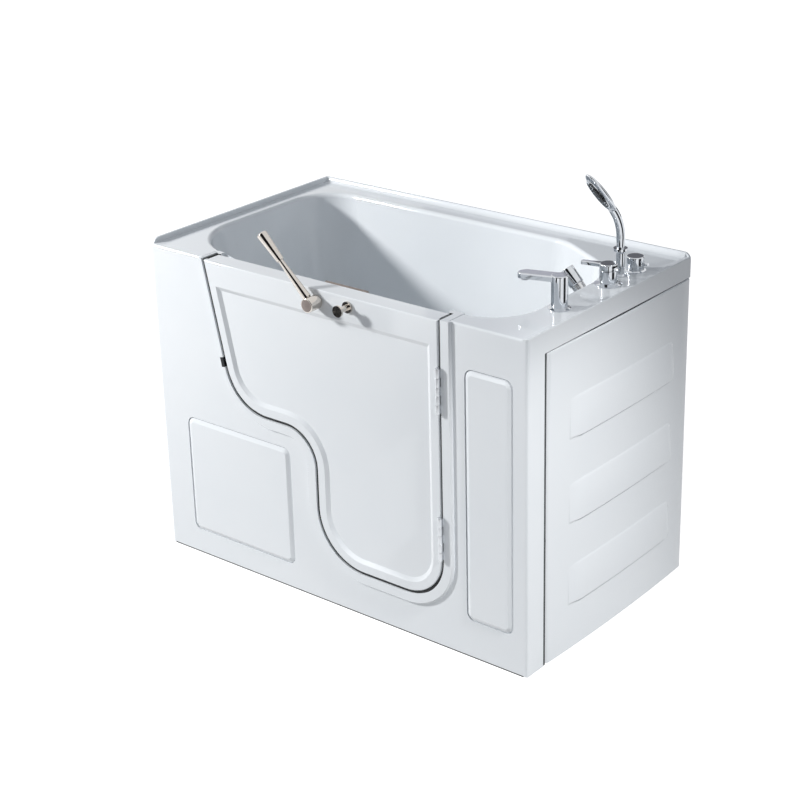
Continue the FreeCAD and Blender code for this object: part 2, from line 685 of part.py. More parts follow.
def build_frame():
    frame_top = s.deck_height
    stop_face = basin_front - s.stop_thickness
    body = opening_prism(s.frame_body, s.frame_body_left, frame_top, door_face, basin_front)
    # The band's outer edge is bevelled back to the face of the door
    shoulder = door_face + s.frame_bevel
    crest = s.frame_band - s.frame_bevel
    crest_left = s.frame_band_left - s.frame_bevel
    band = opening_prism(s.frame_band, s.frame_band_left, frame_top, shoulder, front)
    bevel = loft(outline("XZ", shoulder, opening_corners(s.frame_band, s.frame_band_left, frame_top)),
                 outline("XZ", door_face, opening_corners(crest, crest_left, frame_top)))
    passage = opening_prism(half_gap, half_gap, frame_top + s.overrun, door_face - s.overrun, stop_face)
    window = opening_prism(-s.stop_overlap, -s.stop_overlap, frame_top + s.overrun,
                           stop_face - s.overrun, basin_front + s.overrun)
    bolt_hole = rod(s.latch_rod_radius + s.latch_bore_run, s.overrun * 2,
                    along_latch(latch_reach() - s.overrun / 2, latch_y), latch_line())
    ring = fuse(cut(body, passage), cut(band, passage), cut(bevel, passage))
    node(cut(ring, window, bolt_hole), "door_frame")

    seal_top = door_top
    seal_face = door_face + s.seal_setback
    edge = cut(opening_prism(half_gap, half_gap, seal_top, seal_face, stop_face),
               opening_prism(half_gap - s.seal_edge, half_gap - s.seal_edge, seal_top + s.overrun,
                             seal_face - s.overrun, stop_face + s.overrun))
    lap_face = door_back + s.seal_fit
    lap = cut(opening_prism(half_gap - s.seal_edge, half_gap - s.seal_edge, seal_top, lap_face, stop_face),
              opening_prism(-s.seal_lap, -s.seal_lap, seal_top + s.overrun,
                            lap_face - s.overrun, stop_face + s.overrun))
    lean_angle, strike_x, strike_z = strike_turn()
    spare = s.seal_fit
    notch = box(-half_gap - s.seal_edge, half_gap + s.seal_edge,
                door_face, door_face + s.strike_depth + spare,
                -s.strike_height / 2 - spare, s.strike_height / 2 + spare)
    notch = place(group(notch), (strike_x, 0, strike_z), (y_axis, -lean_angle))
    node(cut(fuse(edge, lap), notch), "door_seal")

    # The strike is an L: a tab on the band's face and a tongue along the jamb, pierced for the rod
    jamb = -half_gap * cosine(lean_angle)
    tab = box(jamb - s.strike_face, jamb + s.strike_plate, door_face - s.strike_plate, door_face,
              -s.strike_height / 2, s.strike_height / 2)
    tongue = box(jamb, jamb + s.strike_plate, door_face, door_face + s.strike_depth,
                 -s.strike_height / 2, s.strike_height / 2)
    strike = place(fuse(tab, tongue), (strike_x, 0, strike_z), (y_axis, -lean_angle))
    bolt_hole = rod(s.latch_rod_radius + s.latch_bore_run, s.overrun * 2,
                    along_latch(latch_reach() - s.overrun, latch_y), latch_line())
    node(cut(strike, bolt_hole), "strike_plate")


def build_door():
    edge = -half_gap
    inner_edge = edge - s.inner_inset
    skin = opening_prism(edge, edge, door_top, door_face, skin_back)
    skin = rounded(skin, s.door_edge_radius, lies_at("y", door_face))
    field_top = door_top - s.field_top_margin
    wide = edge - s.field_margin
    narrow = wide - s.field_bevel
    field = loft(outline("XZ", door_face, opening_corners(wide, wide, field_top)),
                 outline("XZ", door_face + s.field_depth,
                         opening_corners(narrow, narrow, field_top - s.field_bevel)))
    bush_hole = rod(s.bush_radius, s.outer_skin + s.overrun, (lever_x, door_face - s.overrun / 2, lever_z),
                    to_back)
    node(cut(skin, field, bush_hole), "door_outer_skin")

    tray = opening_prism(inner_edge, inner_edge, door_top, skin_back, door_back)
    tray = rounded(tray, s.door_edge_radius, lies_at("y", door_back))
    inside = inner_edge - s.inner_wall
    hollow = opening_prism(inside, inside, door_top - s.inner_top, skin_back - s.overrun,
                           door_back - s.inner_skin)
    rod_hole = rod(s.latch_rod_radius + s.latch_bore_run, s.inner_wall * 3,
                   along_latch(latch_reach() - s.inner_wall * 3, latch_y), latch_line())
    node(cut(tray, hollow, rod_hole), "door_inner_skin")


def build_hinges():
    axis_x = s.opening_right
    axis_y = door_face - s.knuckle_radius - s.knuckle_gap
    bore = s.hinge_pin_radius + s.hinge_run
    step = s.hinge_height / hinge_knuckles
    frame_leaves = []
    door_leaves = []
    pins = []
    for low in (s.hinge_low, s.hinge_high):
        for side, leaves in ((1, frame_leaves), (-1, door_leaves)):
            clear = s.knuckle_radius + s.knuckle_gap
            ends = sorted((axis_x + clear * side, axis_x + (clear + s.hinge_reach) * side),
                          key=lambda size: size.value)
            pieces = [box(*ends, door_face - s.hinge_leaf, door_face, low, low + s.hinge_height)]
            first = 0 if side > 0 else 1
            for index in range(first, hinge_knuckles, 2):
                knuckle_low = low + step * index + s.knuckle_gap / 2
                height = step - s.knuckle_gap
                tab_ends = sorted((axis_x, axis_x + clear * side), key=lambda size: size.value)
                pieces.append(box(*tab_ends, door_face - s.hinge_leaf, door_face - s.knuckle_gap,
                                  knuckle_low, knuckle_low + height))
                pieces.append(rod(s.knuckle_radius, height, (axis_x, axis_y, knuckle_low)))
            hole = rod(bore, s.hinge_height + s.overrun * 2, (axis_x, axis_y, low - s.overrun))
            leaves.append(cut(fuse(*pieces), hole))
        head = s.hinge_pin_radius + s.hinge_cap / 2
        pins.append(turned([
            (0, -s.hinge_cap), (head, -s.hinge_cap), (head, 0), (s.hinge_pin_radius, 0),
            (s.hinge_pin_radius, s.hinge_height), (head, s.hinge_height),
            (head, s.hinge_height + s.hinge_cap), (0, s.hinge_height + s.hinge_cap),
        ], (axis_x, axis_y, low)))
    node(group(*frame_leaves), "hinge_frame_leaves")
    node(group(*door_leaves), "hinge_door_leaves")
    node(group(*pins), "hinge_pins")


def build_lever():
    hub_low = s.bush_flange + s.hub_clear
    face = (lever_x, door_face, lever_z)
    hub = turned([
        (s.spindle_radius, hub_low), (s.hub_radius, hub_low, s.hub_edge),
        (s.hub_radius, s.lever_proud, s.hub_edge), (0, s.lever_proud),
        (0, s.lever_proud - s.hub_radius / 2), (s.spindle_radius, s.lever_proud - s.hub_radius / 2),
    ], face, to_front)
    rod_y = door_face - (hub_low + s.lever_proud) / 2
    lever_line = (y_axis, quarter - s.lever_angle)
    centre = (lever_x, rod_y, lever_z)
    socket = rod(s.rod_socket_radius, s.hub_radius * 2,
                 (lever_x + cosine(s.lever_angle) * s.rod_socket_start, rod_y,
                  lever_z + sine(s.lever_angle) * s.rod_socket_start), lever_line)
    node(cut(hub, socket), "lever_hub")

    root = s.hub_radius + s.hub_clear
    node(turned([
        (0, s.rod_socket_start), (s.rod_socket_radius, s.rod_socket_start), (s.rod_socket_radius, root),
        (s.rod_root_radius, root), (s.rod_waist_radius, s.rod_waist), (s.grip_bore_radius, s.rod_waist),
        (s.grip_bore_radius, s.rod_waist + s.grip_bore), (0, s.rod_waist + s.grip_bore),
    ], centre, lever_line), "lever_rod")
    node(turned([
        (s.grip_bore_radius, s.rod_waist), (s.grip_root_radius, s.rod_waist),
        (s.grip_tip_radius, s.lever_reach, s.grip_dome), (0, s.lever_reach),
        (0, s.rod_waist + s.grip_bore), (s.grip_bore_radius, s.rod_waist + s.grip_bore),
    ], centre, lever_line), "lever_grip")

    bore = s.spindle_radius + s.spindle_run
    node(turned([
        (bore, -s.outer_skin), (s.bush_radius, -s.outer_skin), (s.bush_radius, 0),
        (s.bush_flange_radius, 0), (s.bush_flange_radius, s.bush_flange), (bore, s.bush_flange),
    ], face, to_front), "lever_bush")

    node(turned([
        (0, 0), (s.peg_flange_radius, 0), (s.peg_flange_radius, s.peg_flange),
        (s.peg_waist_radius, s.peg_flange), (s.peg_waist_radius, s.peg_proud - s.peg_flange),
        (s.peg_flange_radius, s.peg_proud - s.peg_flange), (s.peg_flange_radius, s.peg_proud),
        (0, s.peg_proud),
    ], (s.peg_right, door_face, s.deck_height - s.peg_drop), to_front), "lever_rest_peg")

    pull_y = door_back + s.pull_standoff
    pull_z = door_top - s.pull_drop
    feet = [turned([
        (0, 0), (s.pull_foot_radius, 0), (s.pull_foot_radius, s.pull_foot), (s.pull_radius, s.pull_foot),
        (s.pull_radius, s.pull_standoff), (0, s.pull_standoff),
    ], (s.pull_middle + s.pull_span / 2 * side, door_back, pull_z), to_back) for side in (-1, 1)]
    bar = turned([
        (0, 0), (s.pull_radius, 0, s.pull_radius / 2),
        (s.pull_radius, s.pull_span + s.pull_radius * 2, s.pull_radius / 2),
        (0, s.pull_span + s.pull_radius * 2),
    ], (s.pull_middle - s.pull_span / 2 - s.pull_radius, pull_y, pull_z), to_right)
    node(fuse(bar, *feet), "inner_handle")


def scroll_bar(half_width, back_face, front_face):
    # A bar along the latch's scroll, which gains the rod's whole travel over the lever's sweep.
    # Its section lies across the radius, so it is widened by the slope of the scroll's start.
    growth = s.latch_travel / s.lever_sweep * 360
    slope = growth / (s.latch_pin_start * math.tau)
    reach = half_width * root(slope * slope + 1)
    scroll = doc.addObject("Part::Spiral", "scroll")
    bind(scroll, "Growth", growth)
    bind(scroll, "Radius", s.latch_pin_start)
    bind(scroll, "Rotations", s.lever_sweep / 360)
    low = lever_back - back_face
    high = lever_back - front_face
    section = outline("XZ", 0, [
        (s.latch_pin_start - reach, low), (s.latch_pin_start + reach, low),
        (s.latch_pin_start + reach, high), (s.latch_pin_start - reach, high),
    ])
    doc.recompute()
    bar = doc.addObject("Part::Sweep", "scroll_bar")
    bar.Sections = [section]
    bar.Spine = (scroll, ["Edge1"])
    bar.Solid = True
    bar.Frenet = True
    start_angle = s.latch_slope + 180
    bar = place(group(bar), (0, 0, 0), (z_axis, start_angle))
    bar = place(group(bar), (lever_x, lever_back, lever_z), to_front)
    ends = [rod(half_width, high - low,
                (lever_x + cosine(angle) * radius, back_face, lever_z + sine(angle) * radius), to_front)
            for angle, radius in ((start_angle, s.latch_pin_start),
                                  (start_angle + s.lever_sweep, s.latch_pin_start + s.latch_travel))]
    return [bar, *ends]


def build_latch():
    cam_back = lever_back
    cam_face = cam_back - s.cam_thickness
    slot_half = s.latch_pin_radius + s.latch_pin_run
    hub = rod(s.spindle_radius + s.cam_rim * 2, s.cam_thickness, (lever_x, cam_back, lever_z), to_front)
    wing = scroll_bar(slot_half + s.cam_rim, cam_back, cam_face)
    slot = scroll_bar(slot_half, cam_back + s.overrun, cam_face - s.overrun)
    bore = rod(s.spindle_radius, s.cam_thickness + s.overrun, (lever_x, cam_back + s.overrun / 2, lever_z),
               to_front)
    node(cut(fuse(hub, *wing), *slot, bore), "latch_cam")
    spindle_end = door_face - s.lever_proud + s.hub_radius / 2
    spindle = rod(s.spindle_radius, cam_back - spindle_end, (lever_x, cam_back, lever_z), to_front)
    node(spindle, "lever_spindle")

    start = s.latch_pin_start - s.latch_pin_radius * 2
    tip = latch_reach() - s.latch_setback
    bar = rod(s.latch_rod_radius, tip - start, along_latch(start, latch_y), latch_line())
    pin = rod(s.latch_pin_radius, latch_y - cam_face, along_latch(s.latch_pin_start, latch_y), to_front)
    node(fuse(bar, pin), "latch_rod")

    guides = []
    floor_y = door_back - s.inner_skin
    half = s.guide_size / 2
    for distance in (s.guide_first, s.guide_second):
        block = box(-half, half, latch_y - half, floor_y, 0, s.guide_length)
        block = place(group(block), along_latch(distance, 0), latch_line())
        bore = rod(s.latch_rod_radius + s.latch_run, s.guide_length + s.overrun * 2,
                   along_latch(distance - s.overrun, latch_y), latch_line())
        guides.append(cut(block, bore))
    node(group(*guides), "latch_guides")


def build_base():
    rail_low = floor_under - s.rail_height
    rail_end = right - s.rail_end
    half = s.rail_size / 2
    rails = [box(-rail_end, rail_end, s.rail_line * side - half, s.rail_line * side + half,
                 rail_low, floor_under) for side in (-1, 1)]
    node(group(*rails), "base_rails")
    span = s.rail_line - half
    bar = s.crossbar_size / 2
    bars = [box(right * share - bar, right * share + bar, -span, span, rail_low, floor_under)
            for share in crossbar_shares]
    node(group(*bars), "base_crossbars")

    # The right-hand posts stand against the returns of the end panel
    post_outer = right - s.end_inset - s.end_wall - s.post_clear
    front_post = front + s.post_width + s.end_gap - s.post_size
    back_post = back - s.end_wall - s.post_size
    posts = [box(x_low, x_low + s.post_size, y_low, y_low + s.post_size, floor_under, deck_under)
             for x_low in (post_outer - s.post_size, -post_outer) for y_low in (front_post, back_post)]
    node(group(*posts), "corner_posts")

    # The bearers' tops follow the fall of the seat's underside
    seat_under = s.seat_height - s.shell_wall
    seat_run = seat_end - left - s.shell_wall + s.overrun
    leg = s.post_size / 2
    legs = []
    bearers = []
    ends = [right * share for share in seat_leg_shares]

    def seat_level(x):
        return seat_under - s.seat_fall * (x - left + s.overrun) / seat_run

    for side in (-1, 1):
        y_low = s.seat_leg_line * side - leg
        low_x = ends[0] - leg
        high_x = ends[1] + leg
        bearers.append(prism("XZ", [
            (low_x, seat_level(low_x) - s.bearer_size), (high_x, seat_level(high_x) - s.bearer_size),
            (high_x, seat_level(high_x)), (low_x, seat_level(low_x)),
        ], y_low, y_low + s.post_size))
        for x in ends:
            legs.append(prism("XZ", [
                (x - leg, floor_under), (x + leg, floor_under),
                (x + leg, seat_level(x + leg) - s.bearer_size),
                (x - leg, seat_level(x - leg) - s.bearer_size),
            ], y_low, y_low + s.post_size))
    node(group(*legs), "seat_legs")
    node(group(*bearers), "seat_bearers")

    spots = [((rail_end - s.foot_inset) * end, s.rail_line * side)
             for end in foot_row_shares for side in foot_row_shares]
    spots += [(as_size(0), s.rail_line * side) for side in foot_row_shares] + [(as_size(0), as_size(0))]
    studs = [rod(s.foot_stud_radius, rail_low - s.foot_pad, (*spot, s.foot_pad)) for spot in spots]
    pads = [turned([
        (0, 0), (s.foot_pad_radius, 0), (s.foot_pad_radius, s.foot_pad / 2),
        (s.foot_stud_radius * 2, s.foot_pad), (0, s.foot_pad),
    ], (*spot, 0)) for spot in spots]
    nuts = [turned([
        (s.foot_stud_radius, 0), (s.foot_nut_radius, 0), (s.foot_nut_radius, s.foot_nut),
        (s.foot_stud_radius, s.foot_nut),
    ], (*spot, rail_low - s.foot_nut)) for spot in spots]
    node(group(*studs), "foot_studs")
    node(group(*pads), "foot_pads")
    node(group(*nuts), "foot_lock_nuts")


def fitting(spot, height=0, setback=0):
    return (fitting_line - setback, spot, s.deck_height + height)


def build_spout():
    spot = s.spout_place
    node(turned([
        (s.shank_radius, 0), (s.spout_flange_radius, 0), (s.spout_flange_radius, s.flange_height / 2),
        (s.spout_radius, s.flange_height), (s.shank_radius, s.flange_height),
    ], fitting(spot)), "spout_flange")
    post = turned([
        (0, -s.shank_drop), (s.shank_radius, -s.shank_drop), (s.shank_radius, s.flange_height),
        (s.spout_radius, s.flange_height), (s.spout_radius, s.spout_height, s.hub_edge), (0, s.spout_height),
    ], fitting(spot))
    # The arm leaves the post's top and droops towards its rounded end
    arm_half = s.spout_arm_width / 2
    arm = prism("XY", [
        (-s.spout_reach, -arm_half, arm_half * round_end_share), (0, -arm_half), (0, arm_half),
        (-s.spout_reach, arm_half, arm_half * round_end_share),
    ], -s.spout_arm_thickness, 0)
    arm = rounded(arm, s.hub_edge, lies_at("z", 0))
    arm = place(group(arm), fitting(spot, s.spout_height), (y_axis, -s.spout_fall))
    aerator_x = fitting_line - cosine(s.spout_fall) * (s.spout_reach - s.aerator_inset)
    aerator_z = s.deck_height + s.spout_height - sine(s.spout_fall) * (s.spout_reach - s.aerator_inset)
    under = s.spout_arm_thickness
    node(turned([
        (0, 0), (s.aerator_radius, 0), (s.aerator_radius, s.aerator_height), (0, s.aerator_height),
    ], (aerator_x + sine(s.spout_fall) * under, spot, aerator_z - cosine(s.spout_fall) * under),
        (y_axis, as_size(180) - s.spout_fall)), "spout_aerator")
    node(fuse(post, arm), "spout_body")


def build_mixer():
    spot = s.mixer_place
    node(turned([
        (s.shank_radius, 0), (s.mixer_flange_radius, 0), (s.mixer_flange_radius, s.flange_height / 2),
        (s.mixer_radius, s.flange_height), (s.shank_radius, s.flange_height),
    ], fitting(spot)), "mixer_flange")
    bore = s.collar_spigot_radius + s.fit_run
    bore_low = s.mixer_height - s.collar_spigot
    node(turned([
        (0, -s.shank_drop), (s.shank_radius, -s.shank_drop), (s.shank_radius, s.flange_height),
        (s.mixer_radius, s.flange_height), (s.mixer_radius, s.mixer_height), (bore, s.mixer_height),
        (bore, bore_low), (0, bore_low),
    ], fitting(spot)), "mixer_body")

    collar_radius = s.mixer_radius - s.collar_inset
    collar_top = s.mixer_height + s.collar_height
    collar = turned([
        (0, bore_low + s.fit_run), (s.collar_spigot_radius, bore_low + s.fit_run),
        (s.collar_spigot_radius, s.mixer_height + s.fit_run), (collar_radius, s.mixer_height + s.fit_run),
        (collar_radius, collar_top), (0, collar_top),
    ], fitting(spot))
    pin_z = s.deck_height + collar_top + s.lift_pin_rise
    pin_x = fitting_line + s.lift_pin_back
    lug = box(pin_x - s.lug_depth, pin_x + s.lift_pin_radius, spot - s.lug_width / 2, spot + s.lug_width / 2,
              s.deck_height + collar_top - s.collar_height / 2, pin_z + s.lift_pin_radius)
    pin = rod(s.lift_pin_radius, s.lift_pin_span, (pin_x, spot - s.lift_pin_span / 2, pin_z), to_back)
    node(fuse(collar, lug, pin), "mixer_collar")

    cap_low = collar_top + s.lift_gap
    cap_top = cap_low + s.cap_height
    cap = turned([
        (0, cap_low), (s.mixer_radius, cap_low), (s.mixer_radius, cap_top, s.hub_edge), (0, cap_top),
    ], fitting(spot))
    slot_half = s.cap_slot / 2
    slot = box(fitting_line - s.mixer_radius / 2, fitting_line + s.mixer_radius + s.overrun,
               spot - slot_half, spot + slot_half, s.deck_height + cap_low - s.overrun,
               s.deck_height + cap_top - s.hub_edge)
    pin_hole = rod(s.lift_pin_radius + s.fit_run, s.lift_pin_span + s.fit_run * 2,
                   (pin_x, spot - s.lift_pin_span / 2 - s.fit_run, pin_z), to_back)
    root_half = s.mixer_lever_width / 2
    tip_half = s.mixer_lever_tip / 2
    blade = prism("XY", [
        (-s.mixer_lever_reach, -tip_half, tip_half * round_end_share), (0, -root_half), (0, root_half),
        (-s.mixer_lever_reach, tip_half, tip_half * round_end_share),
    ], -s.mixer_lever_thickness, 0)
    blade = rounded(blade, s.blade_edge, lies_at("z", 0))
    blade = place(group(blade), fitting(spot, cap_top), (y_axis, s.mixer_lever_rise))
    node(cut(fuse(cap, blade), slot, pin_hole), "mixer_lever")


def build_diverter():
    spot = s.diverter_place
    low = s.flange_height + s.diverter_gap
    node(turned([
        (0, -s.shank_drop), (s.shank_radius, -s.shank_drop), (s.shank_radius, 0),
        (s.diverter_flange_radius, 0), (s.diverter_flange_radius, s.flange_height / 2),
        (s.diverter_radius, s.flange_height), (s.diverter_spigot_radius, s.flange_height),
        (s.diverter_spigot_radius, s.flange_height + s.diverter_spigot),
        (0, s.flange_height + s.diverter_spigot),
    ], fitting(spot)), "diverter_valve")
    bore = s.diverter_spigot_radius + s.fit_run
    ceiling = s.flange_height + s.diverter_spigot + s.diverter_gap
    top = low + s.diverter_height
    knob = turned([
        (bore, low), (s.diverter_radius, low), (s.diverter_radius, top, s.diverter_edge), (0, top),
        (0, ceiling), (bore, ceiling),
    ], fitting(spot))
    peg_z = s.deck_height + low + s.diverter_height / 2
    peg_start = fitting_line + s.diverter_radius / 2
    peg = rod(s.diverter_peg_radius, s.diverter_radius / 2 + s.diverter_peg,
              (peg_start, spot, peg_z), to_right)
    node(fuse(knob, peg), "diverter_knob")


def swung(item, at, angle):
    # Turn a finished piece about the upright line through a point
    across, along = at[:2]
    base_x = across - cosine(angle) * across + sine(angle) * along
    base_y = along - sine(angle) * across - cosine(angle) * along
    return place(group(item), (base_x, base_y, 0), (z_axis, angle))


def build_hand_shower():
    spot = s.guide_place
    seat = fitting(spot, 0, s.guide_setback)
    tube_top = s.guide_height
    node(turned([
        (s.guide_bore, -s.shank_drop), (s.shank_radius, -s.shank_drop), (s.shank_radius, 0),
        (s.guide_flange_radius, 0), (s.guide_flange_radius, s.flange_height / 2),
        (s.guide_radius, s.flange_height), (s.guide_radius, tube_top), (s.guide_bore, tube_top),
    ], seat), "shower_guide")
    nut_top = tube_top + s.shower_nut_height
    half = s.shower_nut_height / 2
    node(turned([
        (s.guide_bore, tube_top), (s.guide_radius, tube_top), (s.shower_nut_radius, tube_top + half),
        (s.shower_nut_radius, nut_top), (s.guide_bore, nut_top),
    ], seat), "shower_nut")
    cone_top = nut_top + s.cone_height
    node(turned([
        (0, nut_top - s.cone_drop), (s.cone_radius, nut_top - s.cone_drop),
        (s.cone_radius, nut_top + s.fit_run), (s.cone_top_radius, nut_top + s.fit_run),
        (s.cone_top_radius, cone_top), (s.cone_spigot_radius, cone_top),
        (s.cone_spigot_radius, cone_top + s.cone_spigot), (0, cone_top + s.cone_spigot),
    ], seat), "shower_cone")

    # The handle rises straight from the cone and then bends over, swung round to face the door
    handle_low = cone_top + s.fit_run
    bend_z = handle_low + s.handle_rise
    bore = s.cone_spigot_radius + s.fit_run
    grip = turned([
        (bore, handle_low), (s.cone_top_radius, handle_low), (s.handle_radius, bend_z), (0, bend_z),
        (0, cone_top + s.cone_spigot + s.fit_run), (bore, cone_top + s.cone_spigot + s.fit_run),
    ], seat)
    bend = doc.addObject("Part::Torus", "bend")
    bind(bend, "Radius1", s.handle_bend_radius)
    bind(bend, "Radius2", s.handle_radius)
    bind(bend, "Angle3", s.handle_bend)
    place(bend, fitting(spot, bend_z, s.guide_setback + s.handle_bend_radius), (x_axis, quarter))
    node(swung(fuse(grip, bend), seat, s.shower_swing), "shower_handle")

    tip_x = seat[0] - s.handle_bend_radius * (1 - cosine(s.handle_bend))
    tip_z = s.deck_height + bend_z + s.handle_bend_radius * sine(s.handle_bend)
    tilt = (y_axis, -s.handle_bend)
    shell = doc.addObject("Part::Ellipsoid", "head")
    bind(shell, "Radius1", s.head_length / 2)
    bind(shell, "Radius2", s.head_thickness / 2)
    bind(shell, "Radius3", s.head_width / 2)
    shell.Angle1 = -90
    shell.Angle2 = 90
    place(shell, (0, 0, s.head_length / 2 - s.head_sink))
    neck = rod(s.handle_radius + s.fit_run, s.head_length, (0, 0, -s.head_length))
    face_line = -s.head_thickness / 2 + s.face_thickness
    flat = box(-s.head_thickness, face_line, -s.head_width, s.head_width, -s.head_length, s.head_length * 2)
    head = place(group(cut(shell, neck, flat)), (tip_x, spot, tip_z), tilt)
    node(swung(head, seat, s.shower_swing), "shower_head")
    plate = doc.addObject("Part::Ellipsoid", "face")
    bind(plate, "Radius1", s.face_length / 2)
    bind(plate, "Radius2", s.face_thickness)
    bind(plate, "Radius3", s.face_width / 2)
    plate.Angle1 = -90
    plate.Angle2 = 90
    place(plate, (face_line, 0, s.head_length / 2 - s.head_sink))
    keep = box(-s.head_length, face_line, -s.head_length, s.head_length, -s.head_length, s.head_length * 2)
    plate = place(group(common(plate, keep)), (tip_x, spot, tip_z), tilt)
    node(swung(plate, seat, s.shower_swing), "shower_face")


def build_deck_nuts():
    nuts = [turned([
        (s.shank_radius, 0), (s.nut_radius, 0), (s.nut_radius, s.nut_height), (s.shank_radius, s.nut_height),
    ], (line, spot, deck_under - s.nut_height)) for line, spot in deck_spots()]
    node(group(*nuts), "deck_nuts")


def build_drain():
    x = drain_x
    floor = s.floor_height
    flange_top = floor + s.drain_flange
    hub = s.plug_stem_radius + s.plug_run
    tail_low = s.waste_level
    ring = turned([
        (s.drain_bore, tail_low), (s.drain_radius, tail_low), (s.drain_radius, floor),
        (s.drain_flange_radius, floor), (s.drain_flange_radius, flange_top), (s.drain_bore, flange_top),
    ], (x, 0, 0))
    # A cross inside the tail guides the plug's stem
    cross_low = floor - s.plug_stem
    cross_top = cross_low + s.cross_width
    boss = rod(hub + s.cross_width / 2, cross_top - cross_low, (x, 0, cross_low))
    reach = s.drain_bore + s.waste_wall / 2
    half = s.cross_width / 2
    arms = [box(x - reach, x + reach, -half, half, cross_low, cross_top),
            box(x - half, x + half, -reach, reach, cross_low, cross_top)]
    stem_hole = rod(hub, s.overrun * 2, (x, 0, cross_low - s.overrun))
    node(cut(fuse(ring, boss, *arms), stem_hole), "drain_flange")
    plug_low = flange_top + s.plug_gap
    stem_low = cross_low - s.cross_width
    node(turned([
        (0, stem_low), (s.plug_stem_radius, stem_low), (s.plug_stem_radius, plug_low),
        (s.plug_radius, plug_low), (s.plug_radius, plug_low + s.plug_height / 2),
        (s.plug_stem_radius, plug_low + s.plug_height), (0, plug_low + s.plug_height),
    ], (x, 0, 0)), "drain_plug")


def ball(radius, at):
    solid = doc.addObject("Part::Sphere", "ball")
    bind(solid, "Radius", radius)
    return place(solid, at)


def build_waste():
    # A cup under the drain's tail, with the outlet running to the back
    x = drain_x
    level = s.waste_ground + s.waste_sump + s.waste_radius
    cup = rod(s.waste_cup_radius, s.waste_level - s.waste_ground, (x, 0, s.waste_ground))
    cup_hollow = rod(s.drain_bore, s.waste_level, (x, 0, s.waste_ground + s.waste_wall))
    outlet = rod(s.waste_radius, s.waste_reach, (x, 0, level), to_back)
    spigot = rod(s.waste_spigot_radius, s.waste_spigot, (x, s.waste_reach - s.waste_spigot, level), to_back)
    bore = rod(s.waste_radius - s.waste_wall, s.waste_reach + s.overrun, (x, 0, level), to_back)
    node(cut(fuse(cup, outlet, spigot), cup_hollow, bore), "waste_elbow")

    line = overflow_line
    spot = s.overflow_place
    top = s.deck_height - s.overflow_low - s.overflow_stub_radius - s.waste_wall
    drop = rod(s.overflow_pipe_radius, top - level, (line, spot, level))
    run = rod(s.overflow_pipe_radius, line - x, (x, spot, level), to_right)
    corner = ball(s.waste_bend_radius, (line, spot, level))
    saddle = rod(s.waste_radius + s.pipe_fit, s.waste_reach, (x, 0, level), to_back)
    node(cut(fuse(drop, run, corner), saddle), "overflow_pipe")


def build_overflow():
    spot = s.overflow_place
    level = s.deck_height - s.overflow_low
    fall = s.right_lean / (s.deck_height - s.floor_height)
    wall_x = basin_right - fall * s.overflow_low - s.pipe_fit
    tilt = (y_axis, s.overflow_tilt - quarter)
    across = cosine(s.overflow_tilt)
    rise = sine(s.overflow_tilt)
    seat = (wall_x + across * s.overflow_neck, spot, level - rise * s.overflow_neck)
    neck = turned([
        (0, 0), (s.overflow_neck_radius, 0), (s.overflow_neck_radius, s.overflow_neck * 2),
        (s.knob_spigot_radius, s.overflow_neck * 2),
        (s.knob_spigot_radius, s.overflow_neck * 2 + s.knob_spigot), (0, s.overflow_neck * 2 + s.knob_spigot),
    ], seat, tilt)
    # The neck is trimmed to the lean of the basin's wall
    reach = s.overflow_neck * 2
    wall = prism("XZ", [
        (wall_x - fall * reach, level - reach), (right, level - reach), (right, level + reach),
        (wall_x + fall * reach, level + reach),
    ], spot - reach, spot + reach)
    line = overflow_line
    stub = rod(s.overflow_stub_radius, line - wall_x + s.overflow_stub_radius,
               (wall_x - s.overflow_stub_radius, spot, level), to_right)
    socket = rod(s.overflow_pipe_radius, s.overflow_stub_radius * 2 + s.waste_wall,
                 (line, spot, level - s.overflow_stub_radius - s.waste_wall))
    node(fuse(cut(neck, wall), stub, socket), "overflow_body")

    start = s.overflow_neck + s.knob_gap
    bore = s.knob_spigot_radius + s.fit_run
    ceiling = s.overflow_neck + s.knob_spigot + s.knob_gap
    end = start + s.knob_length
    node(turned([
        (bore, start), (s.knob_radius, start, s.knob_edge), (s.knob_radius, end, s.knob_edge), (0, end),
        (0, ceiling), (bore, ceiling),
    ], (wall_x, spot, level), tilt), "overflow_knob")


def build_deck_pipes():
    # Mixer valve below the deck, with the hot and cold tails running to the open back
    spot = s.mixer_place
    line = fitting_line
    half = s.valve_size / 2
    valve_top = s.deck_height - s.shank_drop
    node(box(line - half, line + half, spot - half, spot + half, valve_top - s.valve_height, valve_top),
         "mixer_valve")
    tail_start = spot + half
    tail_end = back - s.tail_inset
    tail_z = valve_top - s.tail_drop
    for label, side in (("hot_tail", -1), ("cold_tail", 1)):
        x = line - s.tail_offset + s.tail_spread / 2 * side
        pipe = rod(s.tail_radius, tail_end - tail_start, (x, tail_start, tail_z), to_back)
        thread = rod(s.tail_thread_radius, s.tail_thread, (x, tail_end - s.tail_thread, tail_z), to_back)
        node(fuse(pipe, thread), label)
    pipe_z = valve_top - s.pipe_drop
    for label, start, end in (("spout_pipe", s.spout_place, spot - half),
                              ("diverter_pipe", s.diverter_place, spot + half)):
        low, high = sorted((start, end), key=lambda size: size.value)
        run = rod(s.spout_pipe_radius, high - low, (line, low, pipe_z), to_back)
        riser = rod(s.spout_pipe_radius, valve_top - pipe_z, (line, start, pipe_z))
        node(fuse(run, riser, ball(s.elbow_radius, (line, start, pipe_z))), label)


builders = (
    build_shell, build_apron, build_end_panel, build_frame, build_door, build_hinges, build_lever,
    build_latch, build_base, build_spout, build_mixer, build_diverter, build_hand_shower,
    build_deck_nuts, build_drain, build_waste, build_overflow, build_deck_pipes,
)
for build in builders:
    build()
doc.recompute()

